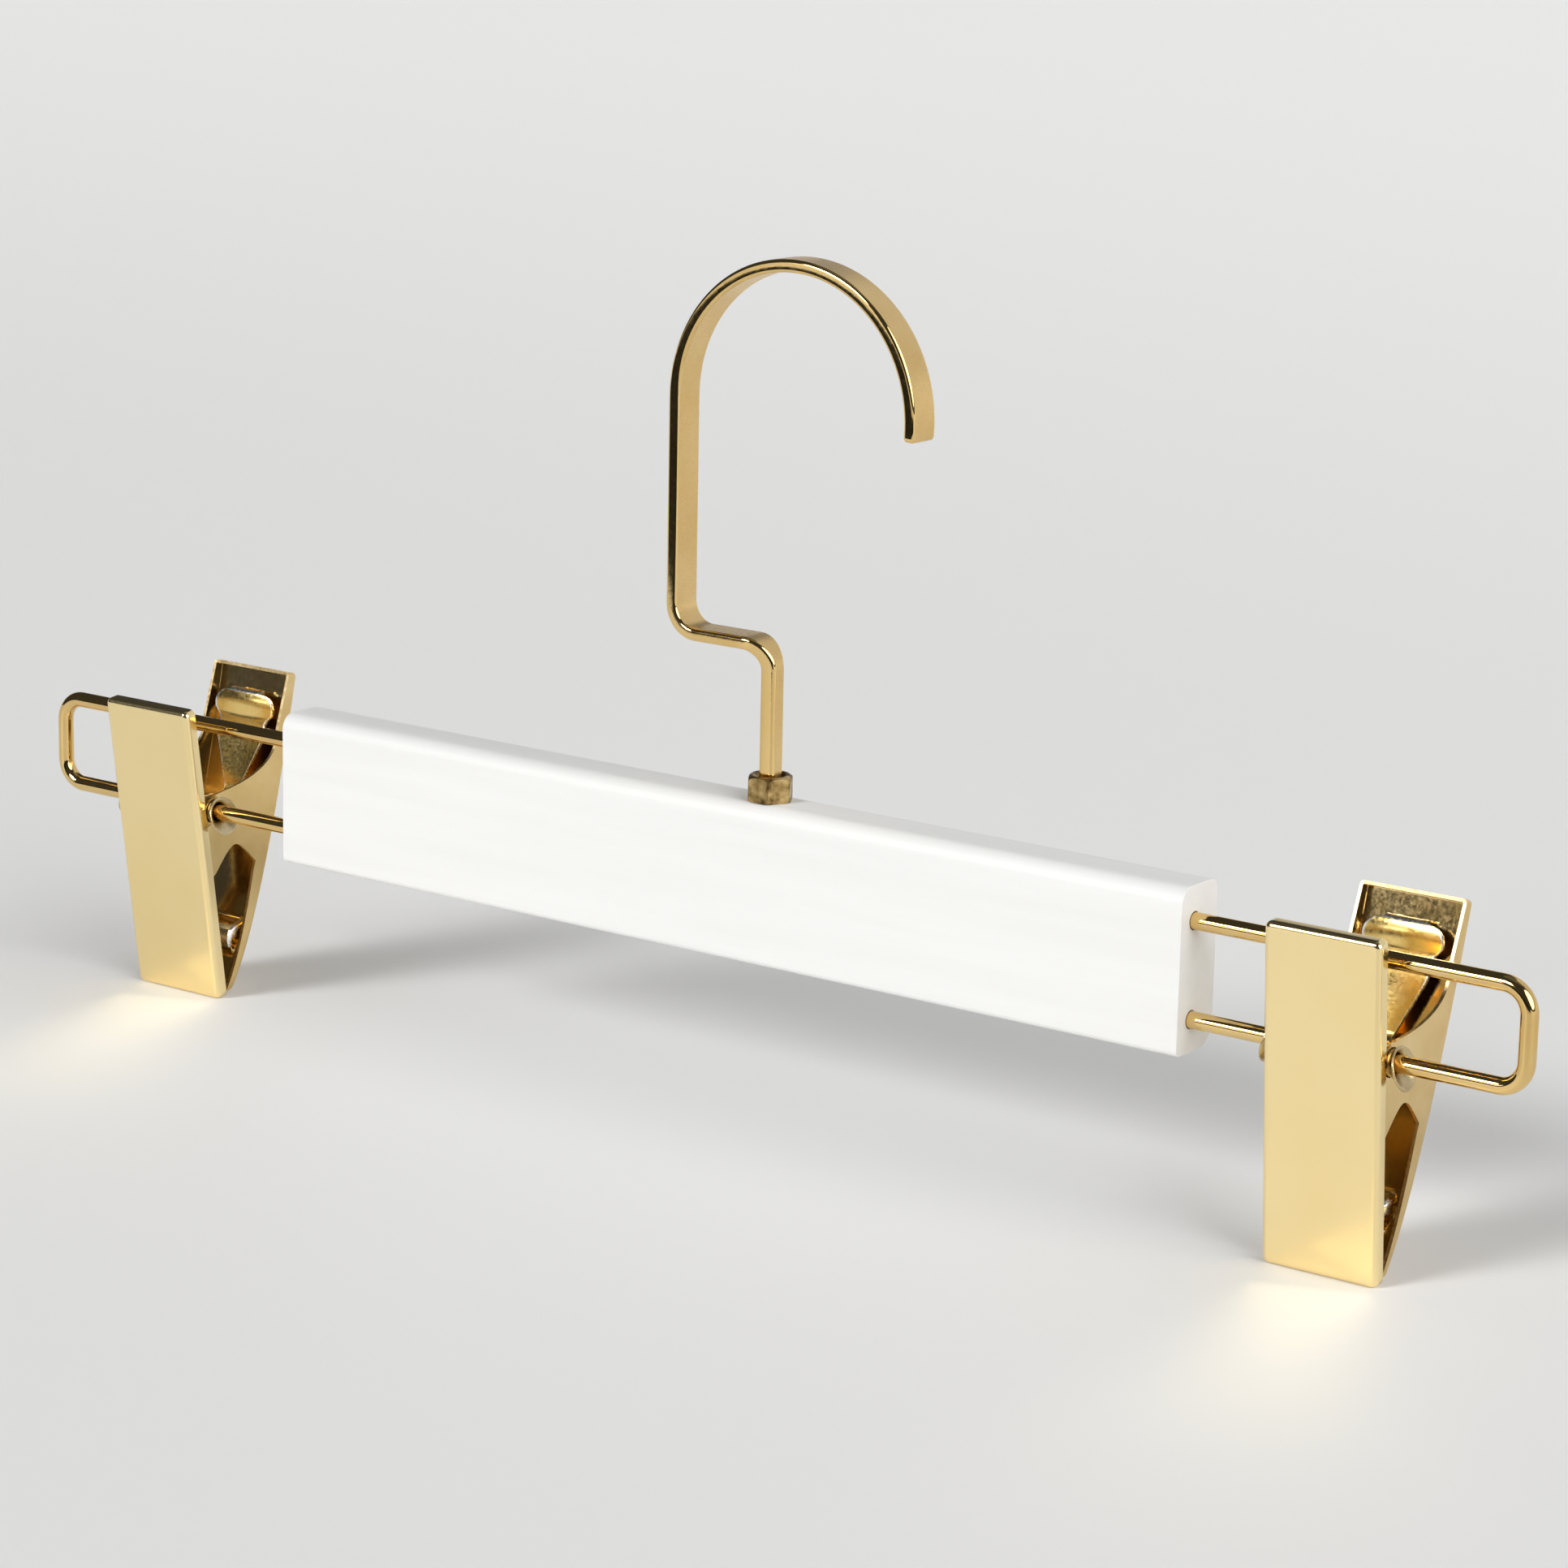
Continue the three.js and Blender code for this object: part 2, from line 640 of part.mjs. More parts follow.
// Sleeve with flared ends, turned about the wire
function makeSleeve(name) {
  const neck = earOuter + sideClear;
  const end = neck + rimProud;
  const flare = sleeveRadius + rimSpread;
  const half = [
    [sleeveBore, end - 1.4 * rimEdge - rimProud / 2],
    [sleeveBore + rimSpread / 3, end - rimEdge],
    [flare - rimEdge, end],
    [flare, end],
    [flare, end - rimEdge],
    [sleeveRadius + rimSpread / 2, neck + rimProud / 3],
    [sleeveRadius, neck],
  ];
  const other = half.map(([r, z]) => [r, -z]).reverse();
  const made = turned(other.concat(half).reverse());
  const mesh = meshOf(name, made, paleSteel);
  mesh.rotation.y = Math.PI / 2;
  return mesh;
}

// Each clip hangs at its own place along its loop and at its own angle.
function makeClip(sideName, side, share, hang) {
  const clip = new THREE.Group();
  clip.position.set(side * (barHalf + share * loopReach), wireY, lowerWireZ);
  clip.add(makeSleeve(sideName + "_pivot_sleeve"));
  const jaws = new THREE.Group();
  jaws.rotation.x = THREE.MathUtils.degToRad(hang);
  jaws.add(makeFrontJaw(sideName + "_front_jaw"));
  jaws.add(makeBackJaw(sideName + "_back_jaw"));
  jaws.add(makeSpring(sideName + "_jaw_spring"));
  clip.add(jaws);
  return clip;
}

const hanger = new THREE.Group();
hanger.position.set(-hangX, 0, -hangZ);
hanger.add(makeBar());
hanger.add(makeHook());
hanger.add(makeNut());
hanger.add(makeRing());
hanger.add(makeLoop("left_wire_loop", -1));
hanger.add(makeLoop("right_wire_loop", 1));
hanger.add(makeClip("left", -1, leftClipShare, leftClipHang));
hanger.add(makeClip("right", 1, rightClipShare, rightClipHang));

const part = new THREE.Group();
part.add(hanger);

export default part;
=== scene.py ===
import bpy
import bmesh
from math import asin, copysign, cos, degrees, hypot, pi, radians, sin, sqrt
from mathutils import Matrix, Vector


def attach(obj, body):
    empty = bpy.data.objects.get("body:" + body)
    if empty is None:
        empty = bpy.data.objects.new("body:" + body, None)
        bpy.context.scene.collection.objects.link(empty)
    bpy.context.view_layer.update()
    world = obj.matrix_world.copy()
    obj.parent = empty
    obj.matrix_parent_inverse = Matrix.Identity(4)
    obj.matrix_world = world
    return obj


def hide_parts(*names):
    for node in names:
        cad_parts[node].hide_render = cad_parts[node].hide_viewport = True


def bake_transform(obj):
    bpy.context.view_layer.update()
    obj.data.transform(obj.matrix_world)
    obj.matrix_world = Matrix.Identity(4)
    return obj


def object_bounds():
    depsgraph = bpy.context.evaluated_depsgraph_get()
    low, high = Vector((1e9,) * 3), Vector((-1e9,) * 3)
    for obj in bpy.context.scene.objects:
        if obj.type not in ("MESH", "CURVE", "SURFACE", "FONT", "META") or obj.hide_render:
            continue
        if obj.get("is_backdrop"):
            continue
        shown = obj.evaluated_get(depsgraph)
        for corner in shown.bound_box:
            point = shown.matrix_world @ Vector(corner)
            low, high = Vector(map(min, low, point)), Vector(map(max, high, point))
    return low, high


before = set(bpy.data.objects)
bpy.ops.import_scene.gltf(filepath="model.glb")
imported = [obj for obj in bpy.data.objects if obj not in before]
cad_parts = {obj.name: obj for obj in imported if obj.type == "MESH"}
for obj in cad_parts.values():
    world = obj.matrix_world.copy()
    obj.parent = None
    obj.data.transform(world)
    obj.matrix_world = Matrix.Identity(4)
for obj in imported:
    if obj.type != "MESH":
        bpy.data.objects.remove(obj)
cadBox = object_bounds()
print("frame loaded:", len(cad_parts), "nodes")

# Sizes are in millimetres, and each piece is scaled to metres when it is done
mmToMetres = 0.001
barPlace = Vector((-17.1, 0, -131.45))  # middle of its underside, from where a rail bears on the hook
hookX = 12  # from the bar's middle
wirePlace = {"y": -1.5, "low": 6.2, "high": 24.4}  # a loop's two wires, from the bar's place
clipPlaces = {
    "right": {"pivot": (119.82, -1.5, -125.25), "hang": 4},
    "left": {"pivot": (-158.1, -1.5, -125.25), "hang": 8},
}


# Materials are made from a few nodes each
def newMaterial(name, colour, metal, rough):
    material = bpy.data.materials.new(name)
    material.use_nodes = True
    tree = material.node_tree
    shader = tree.nodes["Principled BSDF"]
    shader.inputs["Base Color"].default_value = (*colour, 1)
    shader.inputs["Metallic"].default_value = metal
    shader.inputs["Roughness"].default_value = rough
    place = tree.nodes.new("ShaderNodeTexCoord")
    return material, tree, shader, place.outputs["Object"]


def addNoise(tree, where, size, detail, stretch=(1, 1, 1)):
    mapping = tree.nodes.new("ShaderNodeMapping")
    mapping.inputs["Scale"].default_value = stretch
    tree.links.new(where, mapping.inputs["Vector"])
    noise = tree.nodes.new("ShaderNodeTexNoise")
    noise.inputs["Scale"].default_value = size
    noise.inputs["Detail"].default_value = detail
    tree.links.new(mapping.outputs["Vector"], noise.inputs["Vector"])
    return noise.outputs["Fac"]


def addRange(tree, value, low, high, fromLow=0.3, fromHigh=0.7):
    span = tree.nodes.new("ShaderNodeMapRange")
    span.inputs["From Min"].default_value = fromLow
    span.inputs["From Max"].default_value = fromHigh
    span.inputs["To Min"].default_value = low
    span.inputs["To Max"].default_value = high
    tree.links.new(value, span.inputs["Value"])
    return span.outputs["Result"]


def addRamp(tree, value, stops):
    ramp = tree.nodes.new("ShaderNodeValToRGB")
    while len(ramp.color_ramp.elements) < len(stops):
        ramp.color_ramp.elements.new(0.5)
    for element, (at, colour) in zip(ramp.color_ramp.elements, stops):
        element.position = at
        element.color = (*colour, 1)
    tree.links.new(value, ramp.inputs["Fac"])
    return ramp.outputs["Color"]


def addBump(tree, shader, height, strength, distance):
    bump = tree.nodes.new("ShaderNodeBump")
    bump.inputs["Strength"].default_value = strength
    bump.inputs["Distance"].default_value = distance
    tree.links.new(height, bump.inputs["Height"])
    tree.links.new(bump.outputs["Normal"], shader.inputs["Normal"])


# The broad noise (size, detail) drives a finish's colour, and the fine one its roughness and bump.
# Where there is no broad noise, the fine one drives the colour too.
finishValues = {
    # polished plate on the wires and on the hook's edges
    "polishedGold": {"colour": (0.79, 0.55, 0.22), "broad": (60, 4),
                     "stops": [(0.3, (0.76, 0.52, 0.2)), (0.7, (0.83, 0.6, 0.26))],
                     "fine": (900, 6), "rough": 0.07, "roughRange": (0.04, 0.1), "bump": (0.03, 0.0001)},
    # the hook's flats, which are rolled and less bright
    "rolledGold": {"colour": (0.8, 0.56, 0.24), "broad": (90, 3),
                   "stops": [(0.3, (0.76, 0.52, 0.21)), (0.7, (0.84, 0.61, 0.28))],
                   "fine": (2200, 5), "rough": 0.3, "roughRange": (0.25, 0.36), "bump": (0.06, 0.0001)},
    # satin gold of the front plates
    "satinGold": {"colour": (0.985, 0.79, 0.41), "broad": (45, 2),
                  "stops": [(0.3, (0.975, 0.775, 0.39)), (0.7, (0.995, 0.81, 0.435))],
                  "fine": (2600, 5), "rough": 0.16, "roughRange": (0.13, 0.19), "bump": (0.05, 0.0001)},
    # brighter gold of the back jaws, a little uneven from the press
    "pressedGold": {"colour": (0.82, 0.6, 0.27), "broad": (120, 3),
                    "stops": [(0.25, (0.74, 0.51, 0.2)), (0.6, (0.83, 0.61, 0.28)),
                              (0.8, (0.88, 0.68, 0.35))],
                    "fine": (1400, 5), "rough": 0.11, "roughRange": (0.08, 0.15), "bump": (0.04, 0.0001)},
    # gilt spring steel
    "giltSpring": {"colour": (0.85, 0.61, 0.2), "broad": (150, 3),
                   "stops": [(0.3, (0.8, 0.55, 0.16)), (0.7, (0.9, 0.68, 0.27))],
                   "fine": (1800, 4), "rough": 0.2, "roughRange": (0.14, 0.26), "bump": (0.05, 0.0001)},
    # bare steel on cut edges and the hidden ring, also painted on the rib's crest and the spring's sides
    # and curl as a painted highlight
    "bareSteelAndHighlight": {"colour": (0.9, 0.88, 0.83),
                  "fine": (1500, 5), "rough": 0.26, "roughRange": (0.2, 0.34), "bump": (0.06, 0.0001)},
    # cut edges of the back jaws' sheet
    "cutEdge": {"colour": (0.65, 0.49, 0.24),
                "stops": [(0.3, (0.5, 0.35, 0.14)), (0.7, (0.78, 0.62, 0.36))],
                "fine": (1300, 5), "rough": 0.36, "roughRange": (0.3, 0.45), "bump": (0.1, 0.0001)},
    # the sleeve's thin plate, dull beside the jaws
    "sleevePlate": {"colour": (0.6, 0.47, 0.25), "broad": (200, 3),
                    "stops": [(0.3, (0.5, 0.37, 0.18)), (0.7, (0.7, 0.58, 0.35))],
                    "fine": (1500, 5), "rough": 0.26, "roughRange": (0.2, 0.34), "bump": (0.06, 0.0001)},
    # darkened, blotchy brass of the nut
    "oldBrass": {"colour": (0.36, 0.24, 0.09),
                 "stops": [(0.36, (0.1, 0.062, 0.02)), (0.5, (0.36, 0.24, 0.09)),
                           (0.66, (0.62, 0.45, 0.2))],
                 "fine": (420, 8), "rough": 0.38, "roughRange": (0.5, 0.26), "bump": (0.25, 0.0003)},
    # white paint, brushed along the bar
    "whitePaint": {"colour": (0.84, 0.84, 0.827), "metal": 0,
                   "stops": [(0.3, (0.825, 0.825, 0.811)), (0.7, (0.855, 0.855, 0.842))],
                   "fine": (260, 6, (0.06, 1, 1)), "rough": 0.48, "roughRange": (0.42, 0.56),
                   "bump": (0.16, 0.0004)},
}


def makeFinish(name):
    v = finishValues[name]
    material, tree, shader, where = newMaterial(name, v["colour"], v.get("metal", 1), v["rough"])
    fine = addNoise(tree, where, *v["fine"])
    if "stops" in v:
        tint = addNoise(tree, where, *v["broad"]) if "broad" in v else fine
        tree.links.new(addRamp(tree, tint, v["stops"]), shader.inputs["Base Color"])
    tree.links.new(addRange(tree, fine, *v["roughRange"]), shader.inputs["Roughness"])
    addBump(tree, shader, fine, *v["bump"])
    return material


finishes = {name: makeFinish(name) for name in finishValues}
print("finishes made:", ", ".join(finishes))

mergeGap = 1e-4  # points closer than this are joined
touchGap = 1e-3  # points closer than this to a plane lie on it
breakAngle = 60  # edges sharper than this are broken
sharpAngle = 38  # edges sharper than this keep a crease in the shading
wholeTurn = 2 * pi


# How far a value lies from one limit to the other, and the same with a soft start and end
def between(value, low, high):
    return min(max((value - low) / (high - low), 0), 1)


def ease(value):
    t = between(value, 0, 1)
    return t * t * (3 - 2 * t)


# Lines in the plane of a clip's side are lists of (y, z)
def heading(a, b):
    run = hypot(b[0] - a[0], b[1] - a[1])
    return (b[0] - a[0]) / run, (b[1] - a[1]) / run


def arcAbout(y, z, radius, fromDeg, toDeg, steps):
    turns = [radians(fromDeg + (toDeg - fromDeg) * i / steps) for i in range(steps + 1)]
    return [(y + radius * cos(t), z + radius * sin(t)) for t in turns]


def bezier(points, steps):
    line = []
    for i in range(steps + 1):
        work = [Vector(p) for p in points]
        while len(work) > 1:
            work = [a.lerp(b, i / steps) for a, b in zip(work, work[1:])]
        line.append((work[0].x, work[0].y))
    return line


# A line at a distance in front of another, where the distance may change with height
def beside(line, distanceAt):
    made = []
    for i, (y, z) in enumerate(line):
        aheadY, aheadZ = heading(line[max(i - 1, 0)], line[min(i + 1, len(line) - 1)])
        made.append((y + distanceAt(z) * aheadZ, z - distanceAt(z) * aheadY))
    return made


def vertsOf(geom):
    return [g for g in geom if isinstance(g, bmesh.types.BMVert)]


def edgesOf(geom):
    return [g for g in geom if isinstance(g, bmesh.types.BMEdge)]


def edgesAlong(bm, axis, least=1):
    return [e for e in bm.edges if abs(e.verts[0].co[axis] - e.verts[1].co[axis]) > least]


def edgesAt(bm, axis, at):
    return [e for e in bm.edges if all(abs(p.co[axis] - at) < touchGap for p in e.verts)]


def boxMesh(size, middle):
    bm = bmesh.new()
    bmesh.ops.create_cube(bm, size=1)
    bmesh.ops.scale(bm, vec=size, verts=bm.verts[:])
    bmesh.ops.translate(bm, vec=middle, verts=bm.verts[:])
    return bm


def rodMesh(radius, start, end, sides=40):
    bm = bmesh.new()
    start, end = Vector(start), Vector(end)
    along = end - start
    turn = along.to_track_quat("Z", "Y").to_matrix().to_4x4()
    bmesh.ops.create_cone(bm, cap_ends=True, segments=sides, radius1=radius, radius2=radius,
                          depth=along.length, matrix=Matrix.Translation((start + end) / 2) @ turn)
    return bm


# An outline turned right round an axis
def turnOutline(bm, outline, axis, steps, closed=False):
    points = [bm.verts.new(p) for p in outline]
    for a, b in zip(points, points[1:] + points[:1] if closed else points[1:]):
        bm.edges.new((a, b))
    bmesh.ops.spin(bm, geom=bm.verts[:] + bm.edges[:], cent=(0, 0, 0), axis=axis, angle=wholeTurn,
                   steps=steps, dvec=(0, 0, 0), use_merge=True, use_duplicate=False)


# A flat side of a clip, filled from its outline to its pivot hole
def fillAboutHole(bm, around, x, radius, sides=36):
    turn = Matrix.Translation((x, 0, 0)) @ Matrix.Rotation(radians(90), 4, "Y")
    hole = bmesh.ops.create_circle(bm, cap_ends=False, segments=sides, radius=radius, matrix=turn)["verts"]
    rim = list(dict.fromkeys(e for p in hole for e in p.link_edges))
    made = bmesh.ops.triangle_fill(bm, edges=around + rim, use_beauty=True, use_dissolve=False,
                                   normal=(1, 0, 0))
    return [g for g in made["geom"] if isinstance(g, bmesh.types.BMFace)]


def closeEnds(bm):
    bmesh.ops.holes_fill(bm, edges=[e for e in bm.edges if e.is_boundary], sides=0)


def faceOutwards(bm):
    bmesh.ops.recalc_face_normals(bm, faces=bm.faces[:])


def roundEdges(bm, edges, radius, steps):
    bmesh.ops.bevel(bm, geom=edges, offset=radius, offset_type="OFFSET", segments=steps,
                    profile=0.5, affect="EDGES", clamp_overlap=True, material=-1)


def breakEdges(bm, width, steps):
    sharp = [e for e in bm.edges if e.is_manifold and e.calc_face_angle(0) > radians(breakAngle)]
    roundEdges(bm, sharp, width, steps)


# Sheet gets its thickness, and its cut edges the second finish
def thicken(bm, sheet):
    faceOutwards(bm)
    first = set(bm.verts[:])
    bmesh.ops.solidify(bm, geom=bm.faces[:], thickness=sheet)
    for f in bm.faces:
        if 0 < sum(p in first for p in f.verts) < len(f.verts):
            f.material_index = 1
    faceOutwards(bm)


def addObject(name, data):
    made = bpy.data.objects.new(name, data)
    bpy.context.scene.collection.objects.link(made)
    return made


def addMesh(name, bm):
    mesh = bpy.data.meshes.new(name)
    bm.to_mesh(mesh)
    bm.free()
    return addObject(name, mesh)


def cutWith(bm, cutters):
    mesh = bpy.data.meshes.new("cutWork")
    bm.to_mesh(mesh)
    work = addObject("cutWork", mesh)
    tools = []
    for tool, operation in cutters:
        cutter = addMesh("cutTool", tool)
        modifier = work.modifiers.new("cut", "BOOLEAN")
        modifier.operation = operation
        modifier.solver = "EXACT"
        modifier.object = cutter
        tools.append(cutter)
    bpy.context.view_layer.update()
    shaped = bpy.data.meshes.new_from_object(work.evaluated_get(bpy.context.evaluated_depsgraph_get()))
    bm.clear()
    bm.from_mesh(shaped)
    for thing in tools + [work]:
        spent = thing.data
        bpy.data.objects.remove(thing)
        bpy.data.meshes.remove(spent)
    bpy.data.meshes.remove(shaped)


# The finished mesh becomes an object that stands for a node
def placePiece(bm, name, node, body, looks, moved=None, sharp=sharpAngle):
    bmesh.ops.remove_doubles(bm, verts=bm.verts[:], dist=mergeGap)
    faceOutwards(bm)
    if moved is not None:
        bmesh.ops.transform(bm, matrix=moved, verts=bm.verts[:])
    bmesh.ops.scale(bm, vec=[mmToMetres] * 3, verts=bm.verts[:])
    for face in bm.faces:
        face.smooth = True
    for edge in bm.edges:
        edge.smooth = not (edge.is_manifold and edge.calc_face_angle(0) > radians(sharp))
    piece = addMesh(name, bm)
    for look in looks:
        piece.data.materials.append(finishes[look])
    weigh = piece.modifiers.new("faceWeight", "WEIGHTED_NORMAL")
    weigh.keep_sharp = True
    if body:
        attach(piece, body)
    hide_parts(node)
    return piece


# Bar: its four long edges have their own rounds, and all the others a slight break
barSizes = {"length": 214, "height": 31, "thick": 12, "frontTop": 3.2, "backTop": 2.2,
            "backBottom": 4.6, "frontBottom": 1.2, "roundSteps": 8, "break": 0.9, "breakSteps": 4,
            "socket": 1.75, "socketDepth": 22.15, "hole": 3.3, "holeDepth": 16.85, "overrun": 5,
            "nearCorner": 0.49}


def makeBar():
    v = barSizes
    half, top = v["length"] / 2, v["height"]
    bm = boxMesh((v["length"], v["thick"], top), (0, 0, top / 2))
    nearY, nearZ = v["nearCorner"] * v["thick"], v["nearCorner"] * top
    rounds = {(-1, 1): "frontTop", (1, 1): "backTop", (1, -1): "backBottom", (-1, -1): "frontBottom"}
    for (ySign, zSign), key in rounds.items():
        for edge in edgesAlong(bm, 0, half):
            middle = (edge.verts[0].co + edge.verts[1].co) / 2
            if middle.y * ySign > nearY and (middle.z - top / 2) * zSign > nearZ:
                roundEdges(bm, [edge], v[key], v["roundSteps"])
                break
    # the rounds' narrow facets hold the break down to about 0.1
    roundEdges(bm, bm.edges[:], v["break"], v["breakSteps"])
    holes = []
    for z in (wirePlace["low"], wirePlace["high"]):
        for side in (-1, 1):
            start, end = side * (half - v["socketDepth"]), side * (half + v["overrun"])
            holes.append((v["socket"], (start, wirePlace["y"], z), (end, wirePlace["y"], z)))
    holes.append((v["hole"], (hookX, 0, top - v["holeDepth"]), (hookX, 0, top + v["overrun"])))
    cutWith(bm, [(rodMesh(*hole), "DIFFERENCE") for hole in holes])
    placePiece(bm, "paintedBar", "bar", "bar", ["whitePaint"], Matrix.Translation(barPlace))


# Wire loops, whose ends stand in the bar
wireSizes = {"radius": 1.6, "sides": 24, "inner": 85, "outer": 173.4, "bend": 5, "bendSteps": 10,
             "break": 0.25, "breakSteps": 2}


def makeWire(sideName, side):
    v = wireSizes
    y, low, high = (wirePlace[key] for key in ("y", "low", "high"))
    bendX, bendLow, bendHigh = v["outer"] - v["bend"], low + v["bend"], high - v["bend"]
    bm = bmesh.new()
    start = Matrix.Translation((v["inner"], y, high)) @ Matrix.Rotation(radians(90), 4, "Y")
    bmesh.ops.create_circle(bm, cap_ends=True, segments=v["sides"], radius=v["radius"], matrix=start)

    def forward(edges, step):
        made = bmesh.ops.extrude_edge_only(bm, edges=edges)["geom"]
        bmesh.ops.translate(bm, vec=step, verts=vertsOf(made))

    def lastRing(axis, at):
        return [e for e in edgesAt(bm, axis, at) if e.is_boundary]

    def bend(edges, z):
        bmesh.ops.spin(bm, geom=edges, cent=(bendX, y, z), axis=(0, 1, 0), angle=radians(90),
                       steps=v["bendSteps"], dvec=(0, 0, 0), use_merge=False, use_duplicate=False)

    forward(bm.edges[:], (bendX - v["inner"], 0, 0))
    bend(lastRing(0, bendX), bendHigh)
    forward(lastRing(2, bendHigh), (0, 0, bendLow - bendHigh))
    bend(lastRing(2, bendLow), bendLow)
    forward(lastRing(0, bendX), (v["inner"] - bendX, 0, 0))
    closeEnds(bm)
    place = Matrix.Translation(barPlace) @ Matrix.Diagonal((side, 1, 1, 1))
    bmesh.ops.transform(bm, matrix=place, verts=bm.verts[:])
    breakEdges(bm, v["break"], v["breakSteps"])
    placePiece(bm, sideName + "WireLoop", sideName + "_wire_loop", "bar", ["polishedGold"])


# Hook: a rod, squared above its nut, that flattens to a strip round its first bend.
# A section is half its thickness, half its width and the radius of its corners.
hookSizes = {"rod": (2.15, 2.15, 2.15), "groove": (1.65, 1.65, 1.65), "shank": (1.8, 1.85, 1.05),
             "strip": (1.24, 3.5, 0.74), "cornerSteps": 7, "foot": 16.15, "footBreak": 0.5,
             "grooveLow": 17.55, "grooveHigh": 18.85, "squareFrom": 33.4, "squareTo": 35.2, "runZ": 61,
             "shankBend": 5, "runBend": 5.5, "runLength": 21.8, "bendSteps": 14, "arcX": 5.1,
             "arcZ": 105.6, "arcRadius": 26.9, "arcSteps": 56, "tipAngle": -4, "nose": 0.9,
             "noseShrink": 0.72, "noseSteps": 4, "flat": 0.1, "sharp": 50}


def makeHook():
    v = hookSizes
    bm = bmesh.new()
    count = 4 * v["cornerSteps"]
    bmesh.ops.create_circle(bm, cap_ends=True, segments=count, radius=v["rod"][0])
    last = {"edges": bm.edges[:], "verts": bm.verts[:]}

    # the last ring gets its section, square to the way the rod is heading
    def lay(x, z, headX, headZ, section, shrink=0):
        thin, wide, r = section
        for i, p in enumerate(last["verts"]):
            angle = wholeTurn * (i + 0.5) / count
            c, s = cos(angle), sin(angle)
            across = copysign(thin - r, c) + (r - shrink) * c
            p.co = (x + across * headZ, copysign(wide - r, s) + (r - shrink) * s, z - across * headX)

    def carryOn(x, z, headX, headZ, section, shrink=0):
        made = bmesh.ops.extrude_edge_only(bm, edges=last["edges"])["geom"]
        last["edges"] = [e for e in edgesOf(made) if not any(p in last["verts"] for p in e.verts)]
        last["verts"] = vertsOf(made)
        lay(x, z, headX, headZ, section, shrink)

    def carryRound(x, z, radius, fromDeg, toDeg, steps, fromSection):
        sense = 1 if toDeg > fromDeg else -1
        for i in range(steps + 1):
            angle = radians(fromDeg + (toDeg - fromDeg) * i / steps)
            c, s = cos(angle), sin(angle)
            section = [a + (b - a) * ease(i / steps) for a, b in zip(fromSection, v["strip"])]
            carryOn(x + radius * c, z + radius * s, -sense * s, sense * c, section)

    lay(0, v["foot"], 0, 1, v["rod"], v["footBreak"])
    carryOn(0, v["foot"] + v["footBreak"], 0, 1, v["rod"])
    for height, section in (("grooveLow", "rod"), ("grooveLow", "groove"), ("grooveHigh", "groove"),
                            ("grooveHigh", "rod"), ("squareFrom", "rod"), ("squareTo", "shank")):
        carryOn(0, v[height], 0, 1, v[section])
    bend = v["shankBend"]
    carryRound(-bend, v["runZ"] - bend, bend, 0, 90, v["bendSteps"], v["shank"])
    bend = v["runBend"]
    carryRound(bend - v["runLength"], v["runZ"] + bend, bend, 270, 180, v["bendSteps"], v["strip"])
    carryRound(v["arcX"], v["arcZ"], v["arcRadius"], 180, v["tipAngle"], v["arcSteps"], v["strip"])
    # the tip has a rounded nose
    tip = radians(v["tipAngle"])
    tipX, tipZ = v["arcX"] + v["arcRadius"] * cos(tip), v["arcZ"] + v["arcRadius"] * sin(tip)
    headX, headZ = sin(tip), -cos(tip)
    for i in range(1, v["noseSteps"] + 1):
        turn = radians(90 * i / v["noseSteps"])
        reach, shrink = v["nose"] * sin(turn), v["noseShrink"] * (1 - cos(turn))
        carryOn(tipX + reach * headX, tipZ + reach * headZ, headX, headZ, v["strip"], shrink)
    closeEnds(bm)
    bm.normal_update()
    # the strip's inner and outer flats get the rolled finish
    for f in bm.faces:
        f.material_index = int(abs(f.normal.y) < v["flat"] and f.calc_center_median().z > v["squareTo"])
    place = Matrix.Translation(barPlace + Vector((hookX, 0, 0)))
    looks = ["polishedGold", "rolledGold"]
    placePiece(bm, "crankHook", "hook", "hook", looks, place, v["sharp"])


# Nut with a turned crown and a hollow stem.
# The crown's points are measured in from the corners and down from the top.
nutSizes = {"flats": 8, "height": 5, "base": 31.05, "edge": 0.22, "edgeSteps": 3, "stem": 3.15,
            "stemLength": 12, "bore": 2.35, "overrun": 2, "crownLow": 0.3, "clear": 0.02,
            "below": 0.01, "crown": ((0.35, 0.45), (0.95, 0.06), (1.5, 0.12)), "crownDrop": 1.1,
            "crownSteps": 72, "dish": 0.7, "dishRim": 0.1, "sharp": 30}


